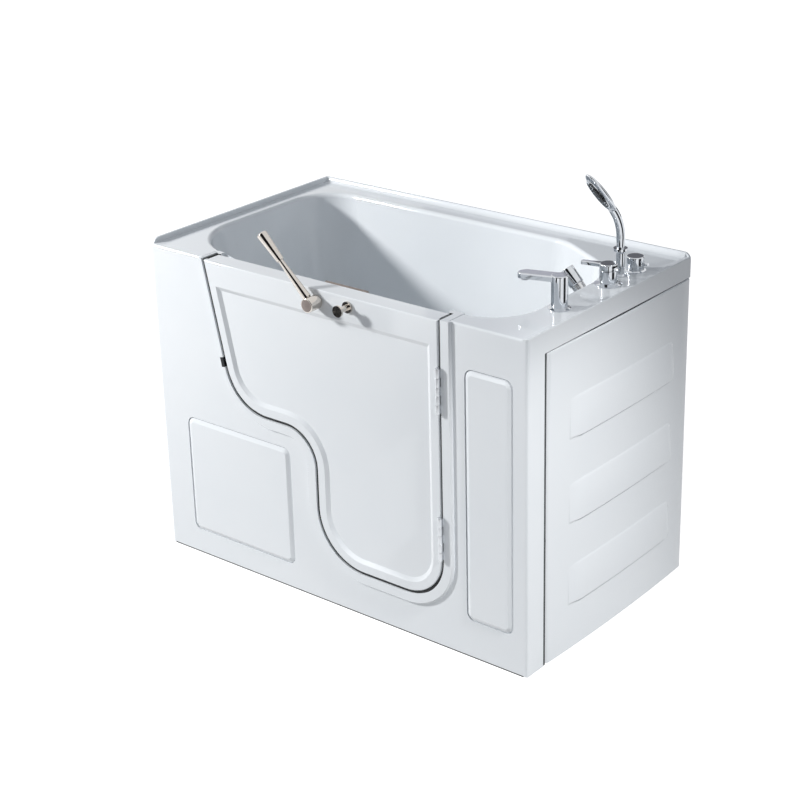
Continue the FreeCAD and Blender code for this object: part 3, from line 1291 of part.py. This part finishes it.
failed = [item.Label for item in doc.Objects if "Invalid" in item.State or "Error" in item.State]
failed += [item.Label for item in nodes if item.Shape.isNull() or not item.Shape.isValid()]
if failed:
    raise RuntimeError(f"not built: {failed}")
os.makedirs("parts", exist_ok=True)
for item in nodes:
    item.Shape.exportStep(f"parts/{item.Label}.step")
    print(item.Label, len(item.Shape.Solids), round(item.Shape.Volume))
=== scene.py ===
import json
import math

import bmesh
import bpy
from mathutils import Matrix, Vector


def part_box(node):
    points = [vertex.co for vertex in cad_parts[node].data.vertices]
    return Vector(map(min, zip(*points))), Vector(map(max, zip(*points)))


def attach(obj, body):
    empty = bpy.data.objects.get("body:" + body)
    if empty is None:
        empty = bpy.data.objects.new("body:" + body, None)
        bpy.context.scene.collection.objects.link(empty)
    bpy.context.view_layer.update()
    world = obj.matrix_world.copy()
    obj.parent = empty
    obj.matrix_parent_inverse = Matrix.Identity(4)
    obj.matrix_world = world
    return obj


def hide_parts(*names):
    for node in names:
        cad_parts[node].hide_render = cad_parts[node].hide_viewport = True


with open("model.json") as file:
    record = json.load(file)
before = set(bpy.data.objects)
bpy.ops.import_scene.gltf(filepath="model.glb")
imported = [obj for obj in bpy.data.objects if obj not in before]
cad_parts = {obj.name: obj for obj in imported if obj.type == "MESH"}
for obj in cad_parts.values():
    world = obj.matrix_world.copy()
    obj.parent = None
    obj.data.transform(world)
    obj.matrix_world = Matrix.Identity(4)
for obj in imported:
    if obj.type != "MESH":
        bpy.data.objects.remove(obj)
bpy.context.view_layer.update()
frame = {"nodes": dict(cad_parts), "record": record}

nodes = frame["nodes"]
mm = 0.001
white = (1, 1, 1, 1)
black = (0, 0, 0, 1)
print("frame loaded:", len(nodes), "nodes")


def linear(hexColour):
    # the sRGB curve, from hex to linear
    parts = [int(hexColour[i:i + 2], 16) / 255 for i in (1, 3, 5)]
    curve = [p / 12.92 if p <= 0.04045 else ((p + 0.055) / 1.055) ** 2.4 for p in parts]
    return (*curve, 1.0)


def addNode(tree, kind, inputs=None, **settings):
    node = tree.nodes.new("ShaderNode" + kind)
    for name, value in settings.items():
        setattr(node, name, value)
    for name, value in (inputs or {}).items():
        if isinstance(value, bpy.types.NodeSocket):
            tree.links.new(value, node.inputs[name])
        else:
            node.inputs[name].default_value = value
    return node


def newMaterial(name):
    material = bpy.data.materials.new(name)
    material.use_nodes = True
    tree = material.node_tree
    tree.nodes.clear()
    output = addNode(tree, "OutputMaterial")
    shader = addNode(tree, "BsdfPrincipled")
    tree.links.new(shader.outputs["BSDF"], output.inputs["Surface"])
    return material, tree, shader


# noise keeps near its middle, so a range of roughness is spread over the part that is reached
noise = {"low": 0.3, "high": 0.7, "markDetail": 3.0, "grainDetail": 5.0, "grainBump": 0.4}


def paint(tree, shader, look, tint, wear):
    # one pattern mixes the two colours and one moves the roughness; they may be the same
    tone = addNode(tree, "MixRGB", {"Fac": tint.outputs["Fac"], "Color1": linear(look["colour"]),
                                    "Color2": linear(look["dull"])})
    gloss = addNode(tree, "MapRange", {
        "Value": wear.outputs["Fac"], "From Min": noise["low"], "From Max": noise["high"],
        "To Min": look["roughness"][0], "To Max": look["roughness"][1]})
    tree.links.new(tone.outputs["Color"], shader.inputs["Base Color"])
    tree.links.new(gloss.outputs["Result"], shader.inputs["Roughness"])


# vacuum-formed acrylic sheet: hard white gloss, a very slight waviness from the mould and faint
# wipe marks; here and below the sizes of patterns are in millimetres
acrylic = {"colour": "#f2f5f7", "dull": "#eef2f5", "roughness": (0.045, 0.09), "ior": 1.49,
           "wave": 160, "waveDetail": 1.0, "wipe": 34, "wipeDetail": 4.0,
           "dip": 0.25, "bump": 0.5}


def makeAcrylic(name, look):
    material, tree, shader = newMaterial(name)
    place = addNode(tree, "TexCoord").outputs["Object"]
    wave = addNode(tree, "TexNoise", {"Vector": place, "Scale": 1 / (look["wave"] * mm),
                                      "Detail": look["waveDetail"]})
    wipe = addNode(tree, "TexNoise", {"Vector": place, "Scale": 1 / (look["wipe"] * mm),
                                      "Detail": look["wipeDetail"]})
    paint(tree, shader, look, wave, wipe)
    bump = addNode(tree, "Bump", {"Height": wave.outputs["Fac"], "Strength": look["bump"],
                                  "Distance": look["dip"] * mm})
    tree.links.new(bump.outputs["Normal"], shader.inputs["Normal"])
    shader.inputs["IOR"].default_value = look["ior"]
    return material


def makeMetal(name, look):
    # bare or plated metal: faint marks dull it in places
    material, tree, shader = newMaterial(name)
    place = addNode(tree, "TexCoord").outputs["Object"]
    mark = addNode(tree, "TexNoise", {"Vector": place, "Scale": 1 / (look["mark"] * mm),
                                      "Detail": noise["markDetail"]})
    paint(tree, shader, look, mark, mark)
    shader.inputs["Metallic"].default_value = 1.0
    return material


def makeCoat(name, look):
    # moulded, drawn or coated surface: a grain breaks the gloss, and where the real one is too
    # fine to show it is drawn coarser
    material, tree, shader = newMaterial(name)
    place = addNode(tree, "TexCoord").outputs["Object"]
    grain = addNode(tree, "TexNoise", {"Vector": place, "Scale": 1 / (look["grain"] * mm),
                                       "Detail": noise["grainDetail"]})
    paint(tree, shader, look, grain, grain)
    bump = addNode(tree, "Bump", {"Height": grain.outputs["Fac"], "Strength": noise["grainBump"],
                                  "Distance": look["depth"] * mm})
    tree.links.new(bump.outputs["Normal"], shader.inputs["Normal"])
    shader.inputs["Metallic"].default_value = look.get("metallic", 0.0)
    return material


finishes = {
    # the sheet of the shell, apron, panels and door, and the same sheet on the door's frame
    "white_acrylic": makeAcrylic("whiteAcrylic", acrylic),
    "white_frame": makeAcrylic("whiteFrame", acrylic),
    # bright chrome plate: mirror metal with thin water marks
    "chrome": makeMetal("chromePlate", {
        "colour": "#dadde1", "dull": "#c8ccd1", "roughness": (0.04, 0.11), "mark": 12}),
    # satin chrome plate: the same metal with soft, wide highlights
    "satin_metal": makeMetal("satinChrome", {
        "colour": "#d9dadb", "dull": "#c6c8ca", "roughness": (0.2, 0.3), "mark": 9}),
    # blasted stainless steel: pale and even, with no mirror image
    "hinge_metal": makeMetal("satinSteelHinge", {
        "colour": "#ced1d4", "dull": "#c8cbcf", "roughness": (0.38, 0.42), "mark": 30}),
    # extruded rubber: nearly black and dull
    "dark_rubber": makeCoat("sealRubber", {
        "colour": "#1b1c1e", "dull": "#232527", "roughness": (0.6, 0.75), "grain": 2,
        "depth": 0.1}),
    # blackened steel: dark metal with a low sheen
    "dark_steel": makeCoat("blackSteel", {
        "colour": "#2b2c2e", "dull": "#3a3b3d", "roughness": (0.3, 0.45), "grain": 2,
        "depth": 0.05, "metallic": 1.0}),
    # moulded plastic: smooth pale grey with a soft sheen
    "spray_plastic": makeCoat("sprayPlastic", {
        "colour": "#c9ccd0", "dull": "#bcc0c5", "roughness": (0.35, 0.5), "grain": 3,
        "depth": 0.05}),
    # galvanised steel tube: grey metal with the cloudy patches of its zinc
    "frame_steel": makeCoat("zincSteel", {
        "colour": "#a9adb1", "dull": "#8e9297", "roughness": (0.35, 0.55), "grain": 14,
        "depth": 0.05, "metallic": 1.0}),
    # moulded nylon: black with a soft sheen
    "black_plastic": makeCoat("blackNylon", {
        "colour": "#17181a", "dull": "#202224", "roughness": (0.4, 0.55), "grain": 2,
        "depth": 0.05}),
    # turned brass: warm yellow metal, slightly dulled
    "brass": makeCoat("plainBrass", {
        "colour": "#c9a356", "dull": "#b48d42", "roughness": (0.25, 0.4), "grain": 8,
        "depth": 0.05, "metallic": 1.0}),
    # extruded plastic pipe: off-white with a soft sheen
    "pipe_plastic": makeCoat("whitePipe", {
        "colour": "#e6e6e2", "dull": "#dcdcd7", "roughness": (0.35, 0.5), "grain": 6,
        "depth": 0.05}),
}
# polished nickel plate: a mirror that is warmer and darker than the chrome
polishedNickel = makeMetal("polishedNickel", {
    "colour": "#d6d1cb", "dull": "#c6c0b9", "roughness": (0.05, 0.12), "mark": 10})
# satin nickel plate: brown-grey metal with soft highlights; on the handle inside the door the same
# dark colour is painted shade
satinNickelAndPaintedShade = makeMetal("satinNickelAndPaintedShade", {
    "colour": "#8a817d", "dull": "#7c7470", "roughness": (0.28, 0.38), "mark": 5})
# painted shade in the slit round the end panel: grey rather than black, with no gloss, finished
# like rubber
slitPaintedShade = makeCoat("paintedSlitShade", {
    "colour": "#3c3e41", "dull": "#46484b", "roughness": (0.65, 0.8), "grain": 2, "depth": 0.1})

# the handle inside the door takes the dark satin nickel as painted shade and reflection of the dark
# basin behind the door's top edge
ownFinish = {"lever_hub": polishedNickel, "lever_rod": polishedNickel,
             "lever_grip": polishedNickel, "lever_bush": polishedNickel,
             "lever_rest_peg": polishedNickel, "inner_handle": satinNickelAndPaintedShade,
             "overflow_knob": finishes["chrome"]}
subparts = frame["record"]["subparts"]
for part in subparts:
    finish = ownFinish.get(part["node"], finishes[part["material_slot"]])
    for slot in nodes[part["node"]].material_slots:
        slot.material = finish
print("finishes set on", len(subparts), "nodes")

# degrees: an edge that turns by more is sharp, and is shaded or rounded as one
sharpAngle = 35


def makePiece(name, bm, material, body, slotName, *replaced):
    bmesh.ops.recalc_face_normals(bm, faces=bm.faces)
    mesh = bpy.data.meshes.new(name)
    bm.to_mesh(mesh)
    bm.free()
    mesh.shade_smooth()
    mesh.set_sharp_from_angle(angle=math.radians(sharpAngle))
    mesh.materials.append(material)
    piece = bpy.data.objects.new(name, mesh)
    bpy.context.scene.collection.objects.link(piece)
    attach(piece, body)
    if replaced:
        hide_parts(*replaced)


def soften(bm, width, angle=sharpAngle, segments=3):
    # round every sharp edge
    sharp = [e for e in bm.edges if e.is_manifold and e.calc_face_angle() > math.radians(angle)]
    bmesh.ops.bevel(bm, geom=sharp, offset=width, offset_type="OFFSET", segments=segments,
                    profile=0.5, affect="EDGES", material=-1, clamp_overlap=True)


def vertsOf(result):
    return [v for v in result["geom"] if isinstance(v, bmesh.types.BMVert)]


def makeOval(half, rise, segments):
    # a flat oval, lying across and up, drawn out to a low block
    bm = bmesh.new()
    bmesh.ops.create_circle(bm, cap_ends=True, segments=segments, radius=1)
    bmesh.ops.scale(bm, vec=(*half, 1), verts=bm.verts)
    top = bmesh.ops.extrude_face_region(bm, geom=list(bm.faces))
    bmesh.ops.translate(bm, vec=(0, 0, rise), verts=vertsOf(top))
    return bm


# hub face: a satin disc let into the polished rim at the end of the lever's hub
hubFace = {"radius": 16.5 * mm, "rise": 0.5 * mm, "edge": 0.2 * mm, "segments": 48}


def makeHubFace():
    low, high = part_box("lever_hub")
    centre = ((low[0] + high[0]) / 2, low[1], (low[2] + high[2]) / 2)
    bm = makeOval((hubFace["radius"], hubFace["radius"]), hubFace["rise"], hubFace["segments"])
    soften(bm, hubFace["edge"])
    place = Matrix.Translation(centre) @ Matrix.Rotation(math.radians(90), 4, "X")
    bmesh.ops.transform(bm, matrix=place, verts=bm.verts)
    makePiece("hubFace", bm, satinNickelAndPaintedShade, "latch_lever", "chrome")


# spray face of the hand shower, from the sizes of the solid: plate, raised rim, dark dish, nozzles;
# rings pair a share of the plate's half sizes with a number of nozzles
spray = {"guide": (0.580, 0.152), "swing": 70, "neck": (0.5503, 0.152, 1.1452), "tilt": 38,
         "line": -7 * mm, "middle": 63.5 * mm, "half": (24 * mm, 56 * mm), "rise": 3.4 * mm,
         "rim": 2.6 * mm, "recess": 1.6 * mm, "edge": 0.7 * mm, "segments": 72,
         "dishShare": (0.42, 0.5), "dishRise": 1.4 * mm, "dishEdge": 0.35 * mm,
         "dishSegments": 48,
         "rings": ((0.62, 18), (0.78, 24)), "nozzle": (1.5 * mm, 1.1 * mm, 1.8 * mm),
         "nozzleSegments": 8}


def sprayFrame():
    # the solid's own placing: tilted about its neck, then swung round the guide
    guide = Vector((*spray["guide"], 0))
    swing = Matrix.Rotation(math.radians(spray["swing"]), 4, "Z")
    tilt = Matrix.Rotation(math.radians(-spray["tilt"]), 4, "Y")
    face = Matrix.Translation((spray["line"], 0, spray["middle"]))
    # a flat outline drawn across and up turns to lie on the face and look out of it
    turn = Matrix(((0, 0, -1, 0), (-1, 0, 0, 0), (0, 1, 0, 0), (0, 0, 0, 1)))
    return (Matrix.Translation(guide) @ swing @ Matrix.Translation(Vector(spray["neck"]) - guide)
            @ tilt @ face @ turn)


def makeSpray():
    place = sprayFrame()
    half = spray["half"]
    bm = makeOval(half, spray["rise"], spray["segments"])
    bm.normal_update()
    plate = max(bm.faces, key=lambda f: f.calc_center_median().z)
    bmesh.ops.inset_region(bm, faces=[plate], thickness=spray["rim"])
    bmesh.ops.translate(bm, vec=(0, 0, -spray["recess"]), verts=plate.verts)
    soften(bm, spray["edge"])
    bmesh.ops.transform(bm, matrix=place, verts=bm.verts)
    makePiece("sprayPlate", bm, finishes["chrome"], "hand_shower", "chrome", "shower_face")

    floor = spray["rise"] - spray["recess"]
    dishHalf = [size * share for size, share in zip(half, spray["dishShare"])]
    bm = makeOval(dishHalf, spray["dishRise"], spray["dishSegments"])
    soften(bm, spray["dishEdge"])
    bmesh.ops.translate(bm, vec=(0, 0, floor), verts=bm.verts)
    wide, narrow, tall = spray["nozzle"]
    for share, count in spray["rings"]:
        for step in range(count):
            angle = math.tau * step / count
            spot = (half[0] * share * math.cos(angle), half[1] * share * math.sin(angle),
                    floor + tall / 2)
            bmesh.ops.create_cone(bm, cap_ends=True, segments=spray["nozzleSegments"],
                                  radius1=wide, radius2=narrow, depth=tall,
                                  matrix=Matrix.Translation(spot))
    bmesh.ops.transform(bm, matrix=place, verts=bm.verts)
    makePiece("sprayNozzles", bm, finishes["black_plastic"], "hand_shower", "black_plastic")


# end panel: the solid's bowed sheet with a rolled front edge and rounder lips
endPanel = {"front": -303 * mm, "back": 385 * mm, "low": 2 * mm, "high": 895.2 * mm,
            "line": 659 * mm, "crown": 9 * mm, "corner": 10 * mm, "cornerSteps": 4,
            "roll": 20 * mm, "rollSteps": 8, "lip": 3 * mm, "lipSteps": 3, "fold": 8 * mm,
            "sheet": 3 * mm, "pitch": 40 * mm}


def panelBow(y):
    middle = (endPanel["front"] + endPanel["back"]) / 2
    half = (endPanel["back"] - endPanel["front"]) / 2
    return endPanel["line"] + endPanel["crown"] * (1 - ((y - middle) / half) ** 2)


def rollEdge(radius, count):
    # places along the edge and the drop behind the face, from the very edge inwards
    turns = [math.pi / 2 * (1 - step / count) for step in range(count + 1)]
    return [(radius * (1 - math.sin(turn)), radius * (1 - math.cos(turn))) for turn in turns]


def makeEndPanel():
    look = endPanel
    lip = rollEdge(look["lip"], look["lipSteps"])[::-1]
    front = [(look["front"] + along, drop)
             for along, drop in rollEdge(look["roll"], look["rollSteps"])]
    back = [(look["back"] - along, drop) for along, drop in lip]
    start, end = front[-1][0], back[0][0]
    count = int((end - start) / look["pitch"])
    run = [(start + (end - start) * step / count, 0) for step in range(1, count)]
    columns = front + run + back

    upper = [(look["high"] - along, drop) for along, drop in lip]
    start, end = look["low"], upper[0][0]
    count = int((end - start) / look["pitch"])
    run = [(start + (end - start) * step / count, 0) for step in range(count)]
    # the round corner has rows of its own below the lip
    turns = [math.pi / 2 * step / look["cornerSteps"] for step in range(look["cornerSteps"])]
    corner = [(look["high"] - look["corner"] * (1 - math.sin(turn)), 0) for turn in turns]
    run += [row for row in corner if row[0] < end]
    rows = sorted(run) + upper + [(look["high"], look["fold"])]

    bm = bmesh.new()
    bmesh.ops.create_grid(bm, x_segments=len(columns) - 1, y_segments=len(rows) - 1, size=1)
    for vert in bm.verts:
        y, drop = columns[round((vert.co.x + 1) / 2 * (len(columns) - 1))]
        z, fold = rows[round((vert.co.y + 1) / 2 * (len(rows) - 1))]
        # near the top the front edge draws back round the corner
        rise = min(look["corner"], max(0, z - look["high"] + look["corner"]))
        edge = look["front"] + look["corner"] - math.sqrt(look["corner"] ** 2 - rise ** 2)
        y = edge + (y - look["front"]) * (look["back"] - edge) / (look["back"] - look["front"])
        vert.co = (panelBow(y) - drop - fold, y, z)
    inside = bmesh.ops.extrude_face_region(bm, geom=list(bm.faces), use_keep_orig=True)
    bmesh.ops.translate(bm, vec=(-look["sheet"], 0, 0), verts=vertsOf(inside))
    makePiece("endPanelSheet", bm, finishes["white_acrylic"], "tub", "white_acrylic", "end_panel")


# dark strips of painted shade: one in the slit along the panel's front and upper edges stands for
# the shadow in the gap, one along the apron's toe stands for the contact shadow under the apron
strips = {"front": -311.6 * mm, "depth": 10 * mm, "face": 658.4 * mm, "back": 642 * mm,
          "high": 897.6 * mm, "gap": 0.2 * mm, "toe": (0.3 * mm, 3.4 * mm),
          "toeProud": 0.6 * mm, "toeDepth": 6 * mm, "toeEnd": 12 * mm, "edge": 0.4 * mm}


def makeStrip(name, material, spans):
    bm = bmesh.new()
    for low, high in spans:
        size = Matrix.Diagonal((*[b - a for a, b in zip(low, high)], 1))
        middle = Matrix.Translation([(a + b) / 2 for a, b in zip(low, high)])
        bmesh.ops.create_cube(bm, size=1, matrix=middle @ size)
    soften(bm, strips["edge"])
    makePiece(name, bm, material, "tub", "dark_rubber")


def makeStrips():
    look = strips
    edge = look["front"] + look["depth"]
    # the slit's painted shade: a grey sheet filling the gap along the panel's front and upper edges
    makeStrip("endPanelSlitShade", slitPaintedShade, (
        ((look["back"], look["front"], endPanel["low"]), (look["face"], edge, look["high"])),
        ((look["back"], edge, endPanel["high"] + look["gap"]),
         (look["face"], endPanel["back"] - endPanel["roll"], look["high"]))))
    # painted contact shadow: a dark strip with the seal's rubber finish fills the gap under the
    # apron's lower edge
    low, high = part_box("front_apron")
    makeStrip("apronToePaintedShadow", finishes["dark_rubber"], (
        ((low[0] + look["toeEnd"], low[1] - look["toeProud"], look["toe"][0]),
         (high[0] - look["toeEnd"], low[1] + look["toeDepth"], look["toe"][1])),))


# three louvred bars: the lower and back edges stand out, the upper and front ones run into the
# sheet; edge pairs a distance in from the outline, in mm, with a share of the full height
endBars = {"front": -206 * mm, "back": 300 * mm, "low": (137 * mm, 380 * mm, 623 * mm),
           "height": 119 * mm, "radius": 24 * mm, "lift": 12 * mm, "topShare": 0.06,
           "frontShare": 0.02, "fade": 48 * mm, "sink": 0.3 * mm,
           "edge": ((0.5, 0.06), (1, 0.14), (6, 0.9), (6.8, 0.97), (8, 1)),
           "columns": 20, "steps": 6}


def barLift(y, z):
    up = 1 - (1 - endBars["topShare"]) * z / endBars["height"]
    along = min(1, max(0, (y - endBars["front"]) / endBars["fade"]))
    smooth = along * along * (3 - 2 * along)
    return endBars["lift"] * up * (endBars["frontShare"] + (1 - endBars["frontShare"]) * smooth)


def makeEndBars():
    look = endBars
    bm = bmesh.new()
    share = bm.verts.layers.float.new("share")
    bmesh.ops.create_grid(bm, x_segments=look["columns"], y_segments=1, size=0.5)
    bmesh.ops.scale(bm, vec=(look["back"] - look["front"], look["height"], 1), verts=bm.verts)
    corners = [v for v in bm.verts if len(v.link_faces) == 1 and v.co.x > 0]
    bmesh.ops.bevel(bm, geom=corners, offset=look["radius"], offset_type="OFFSET",
                    segments=look["steps"], profile=0.5, affect="VERTICES", material=-1,
                    clamp_overlap=True)
    inner = list(bm.faces)
    reached = 0
    for inset, part in look["edge"]:
        bmesh.ops.inset_region(bm, faces=inner, thickness=(inset - reached) * mm,
                               use_boundary=True, use_even_offset=True)
        reached = inset
        for vert in {v for face in inner for v in face.verts}:
            vert[share] = part
    middle = (look["front"] + look["back"]) / 2
    for vert in bm.verts:
        y, z = middle + vert.co.x, look["height"] / 2 + vert.co.y
        rise = (barLift(y, z) + look["sink"]) * vert[share] - look["sink"]
        vert.co = (panelBow(y) + rise, y, z + look["low"][0])
    first = list(bm.verts) + list(bm.edges) + list(bm.faces)
    for low in look["low"][1:]:
        copy = bmesh.ops.duplicate(bm, geom=first)
        bmesh.ops.translate(bm, vec=(0, 0, low - look["low"][0]), verts=vertsOf(copy))
    makePiece("endPanelBars", bm, finishes["white_acrylic"], "tub", "white_acrylic")


# hinges: knuckles on the pin with slim leaves folded into the gap beside the door
hinge = {"axis": (390 * mm, -401.8 * mm), "low": (273 * mm, 698 * mm), "height": 124 * mm,
         "knuckles": 5, "radius": 7 * mm, "segments": 32, "slit": 0.5 * mm, "edge": 0.4 * mm,
         "sharp": 50, "leaf": (2 * mm, 13 * mm), "inset": 4 * mm}


def makeHinge(name, first, side, body, replaced):
    look = hinge
    step = look["height"] / look["knuckles"]
    tall = step - look["slit"]
    width, depth = look["leaf"]
    bm = bmesh.new()
    for low in look["low"]:
        # every second knuckle belongs to this half of the hinge
        for index in range(first, look["knuckles"], 2):
            middle = low + step * (index + 0.5)
            bmesh.ops.create_cone(bm, cap_ends=True, segments=look["segments"],
                                  radius1=look["radius"], radius2=look["radius"], depth=tall,
                                  matrix=Matrix.Translation((*look["axis"], middle)))
            spot = (look["axis"][0] + side * look["inset"], look["axis"][1] + depth / 2, middle)
            size = Matrix.Diagonal((width, depth, tall, 1))
            bmesh.ops.create_cube(bm, size=1, matrix=Matrix.Translation(spot) @ size)
    soften(bm, look["edge"], angle=look["sharp"])
    makePiece(name, bm, finishes["hinge_metal"], body, "hinge_metal", replaced)


makeHubFace()
makeSpray()
makeEndPanel()
makeStrips()
makeEndBars()
makeHinge("hingeDoorKnuckles", 1, -1, "door", "hinge_door_leaves")
makeHinge("hingeFrameKnuckles", 0, 1, "tub", "hinge_frame_leaves")
print("small pieces made")

# studio: pale floor, white surround with a cool fill, hard key from the left front, a soft spot
# beside the right end with a barn door that keeps it off the deck, and a weak wash into the basin
studio = {
    "floorSize": 60, "floor": "#a0a0a0", "floorRoughness": 0.9, "lift": 0.92,
    "fill": 0.39, "fillColour": "#eef3fb", "spotBlend": 1.0, "spotRadius": 0.1, "flagBlue": 1.1,
    "key": {"place": (-3.06, -2.57, 2.45), "target": (0, 0, 0.6), "size": 0.5, "power": 152},
    "spot": {"place": (2.5, -0.62, 2.4), "target": (0.66, -0.32, 0.06), "angle": 41,
             "power": 240},
    "wash": {"place": (0.1, -1.5, 2.2), "target": (0.34, 0.3, 0.75), "angle": 25, "power": 37},
    "barnDoor": {"foot": (1.8, -0.4), "width": 0.9, "low": 1.89, "high": 2.5, "turn": 90},
}
# dark flags that only reflections see: they draw the dark streaks in the chrome
flags = {
    "flagBehind": {"foot": (-0.67, 2.63), "width": 1.0, "low": 1.25, "high": 2.5, "turn": 39.6,
                   "tone": 0.17},
    "flagSky": {"foot": (-1.28, 2.12), "width": 0.6, "low": 1.25, "high": 2.5, "turn": 39.6,
                "tone": 0.55},
    "flagBack": {"foot": (1.25, 2.0), "width": 1.0, "low": 0.9, "high": 1.9, "turn": -20,
                 "tone": 0.03},
    "flagCentre": {"foot": (1.9, -1.8), "width": 0.45, "low": 0.02, "high": 1.1, "turn": 39.6,
                   "tone": 0.01},
    "flagCamera": {"foot": (1.75, -1.95), "width": 2.2, "low": 1.1, "high": 2.9, "turn": 39.6,
                   "tone": 0.01},
    "flagLever": {"foot": (0.5, -2.3), "width": 2.0, "low": 1.3, "high": 3.9, "turn": 5,
                  "tone": 0.01},
    "flagRight": {"foot": (2.2, 0.3), "width": 1.1, "low": 0.02, "high": 1.5, "turn": 90,
                  "tone": 0.04},
    "flagFront": {"foot": (0.2, -2.0), "width": 0.7, "low": 0.02, "high": 1.1, "turn": 0,
                  "tone": 0.04},
    "flagPeg": {"foot": (-0.88, -1.5), "width": 0.4, "low": 0.3, "high": 0.52, "turn": 0,
                "tone": 0.02},
}


def makeStage(name, bm, material):
    mesh = bpy.data.meshes.new(name)
    bm.to_mesh(mesh)
    bm.free()
    thing = bpy.data.objects.new(name, mesh)
    bpy.context.scene.collection.objects.link(thing)
    mesh.materials.append(material)
    return thing


def makeFloor():
    bm = bmesh.new()
    bmesh.ops.create_grid(bm, x_segments=1, y_segments=1, size=studio["floorSize"] / 2)
    material, tree, shader = newMaterial("paleFloor")
    shader.inputs["Base Color"].default_value = linear(studio["floor"])
    shader.inputs["Roughness"].default_value = studio["floorRoughness"]
    shader.inputs["Emission Color"].default_value = white
    # a glow that is seen directly and in reflections, and lights nothing
    ray = addNode(tree, "LightPath")
    seen = addNode(tree, "Math", {0: ray.outputs["Is Camera Ray"],
                                  1: ray.outputs["Is Glossy Ray"]}, operation="MAXIMUM")
    lift = addNode(tree, "Math", {0: seen.outputs[0], 1: studio["lift"]}, operation="MULTIPLY")
    tree.links.new(lift.outputs[0], shader.inputs["Emission Strength"])
    makeStage("floor", bm, material)


def makeFlag(name, foot, width, low, high, turn, tone=0.0, shades=False):
    # a flag shows in reflections, or it shades a lamp and shows nowhere
    bm = bmesh.new()
    bmesh.ops.create_grid(bm, x_segments=1, y_segments=1, size=0.5)
    bmesh.ops.scale(bm, vec=(width, high - low, 1), verts=bm.verts)
    turned = Matrix.Rotation(math.radians(turn), 4, "Z") @ Matrix.Rotation(math.radians(90), 4, "X")
    place = Matrix.Translation((*foot, (low + high) / 2))
    bmesh.ops.transform(bm, matrix=place @ turned, verts=bm.verts)
    material, _, shader = newMaterial(name)
    shader.inputs["Base Color"].default_value = black
    shader.inputs["Specular IOR Level"].default_value = 0.0
    shader.inputs["Emission Color"].default_value = (tone, tone, tone * studio["flagBlue"], 1)
    shader.inputs["Emission Strength"].default_value = 1.0
    flag = makeStage(name, bm, material)
    flag.visible_camera = False
    flag.visible_diffuse = False
    flag.visible_transmission = False
    flag.visible_glossy = not shades
    flag.visible_shadow = shades


def makeWorld():
    world = bpy.data.worlds.new("studio")
    bpy.context.scene.world = world
    world.use_nodes = True
    tree = world.node_tree
    tree.nodes.clear()
    # white where it is seen, and a cool fill where it lights
    ray = addNode(tree, "LightPath")
    seen = addNode(tree, "Math", {0: ray.outputs["Is Camera Ray"],
                                  1: ray.outputs["Is Glossy Ray"]}, operation="MAXIMUM")
    seen = addNode(tree, "Math", {0: seen.outputs[0], 1: ray.outputs["Is Transmission Ray"]},
                   operation="MAXIMUM")
    fill = [studio["fill"] * part for part in linear(studio["fillColour"])[:3]]
    level = addNode(tree, "MixRGB", {"Fac": seen.outputs[0], "Color1": (*fill, 1),
                                     "Color2": white})
    sky = addNode(tree, "Background", {"Color": level.outputs["Color"]})
    output = addNode(tree, "OutputWorld")
    tree.links.new(sky.outputs["Background"], output.inputs["Surface"])


def aimLamp(lamp, place, target):
    thing = bpy.data.objects.new(lamp.name, lamp)
    thing.location = place
    aim = Vector(target) - Vector(place)
    thing.rotation_euler = aim.to_track_quat("-Z", "Y").to_euler()
    bpy.context.scene.collection.objects.link(thing)


def makeKey(place, target, size, power):
    lamp = bpy.data.lights.new("keyLamp", "AREA")
    lamp.shape = "DISK"
    lamp.size = size
    lamp.energy = power
    aimLamp(lamp, place, target)


def makeSpot(name, place, target, angle, power):
    lamp = bpy.data.lights.new(name, "SPOT")
    lamp.spot_size = math.radians(angle)
    lamp.spot_blend = studio["spotBlend"]
    lamp.shadow_soft_size = studio["spotRadius"]
    lamp.energy = power
    aimLamp(lamp, place, target)


makeFloor()
for name, look in flags.items():
    makeFlag(name, **look)
makeFlag("barnDoor", shades=True, **studio["barnDoor"])
makeWorld()
makeKey(**studio["key"])
makeSpot("sideSpot", **studio["spot"])
makeSpot("basinWash", **studio["wash"])
print("studio set")

# camera worked out from the straight edges in the photograph
view = {"place": (3.0958, -3.8249, 2.6073), "azimuth": 39.564, "elevation": 22.095,
        "roll": -1.492, "lens": 83.33, "sensor": 36, "shiftY": -0.04375, "far": 200}


def makeCamera():
    turn = math.radians(view["azimuth"])
    rise = math.radians(view["elevation"])
    roll = math.radians(view["roll"])
    back = Vector((math.sin(turn) * math.cos(rise), -math.cos(turn) * math.cos(rise),
                   math.sin(rise)))
    side = Vector((math.cos(turn), math.sin(turn), 0))
    up = back.cross(side)
    right = side * math.cos(roll) + up * math.sin(roll)
    top = up * math.cos(roll) - side * math.sin(roll)
    lens = bpy.data.cameras.new("photoView")
    lens.lens = view["lens"]
    lens.sensor_width = view["sensor"]
    lens.shift_y = view["shiftY"]
    lens.clip_end = view["far"]
    camera = bpy.data.objects.new("photoView", lens)
    turned = Matrix((right, top, back)).transposed().to_4x4()
    camera.matrix_world = Matrix.Translation(view["place"]) @ turned
    bpy.context.scene.collection.objects.link(camera)
    bpy.context.scene.camera = camera


makeCamera()
bpy.context.scene.view_settings.view_transform = "Standard"
bpy.context.view_layer.update()
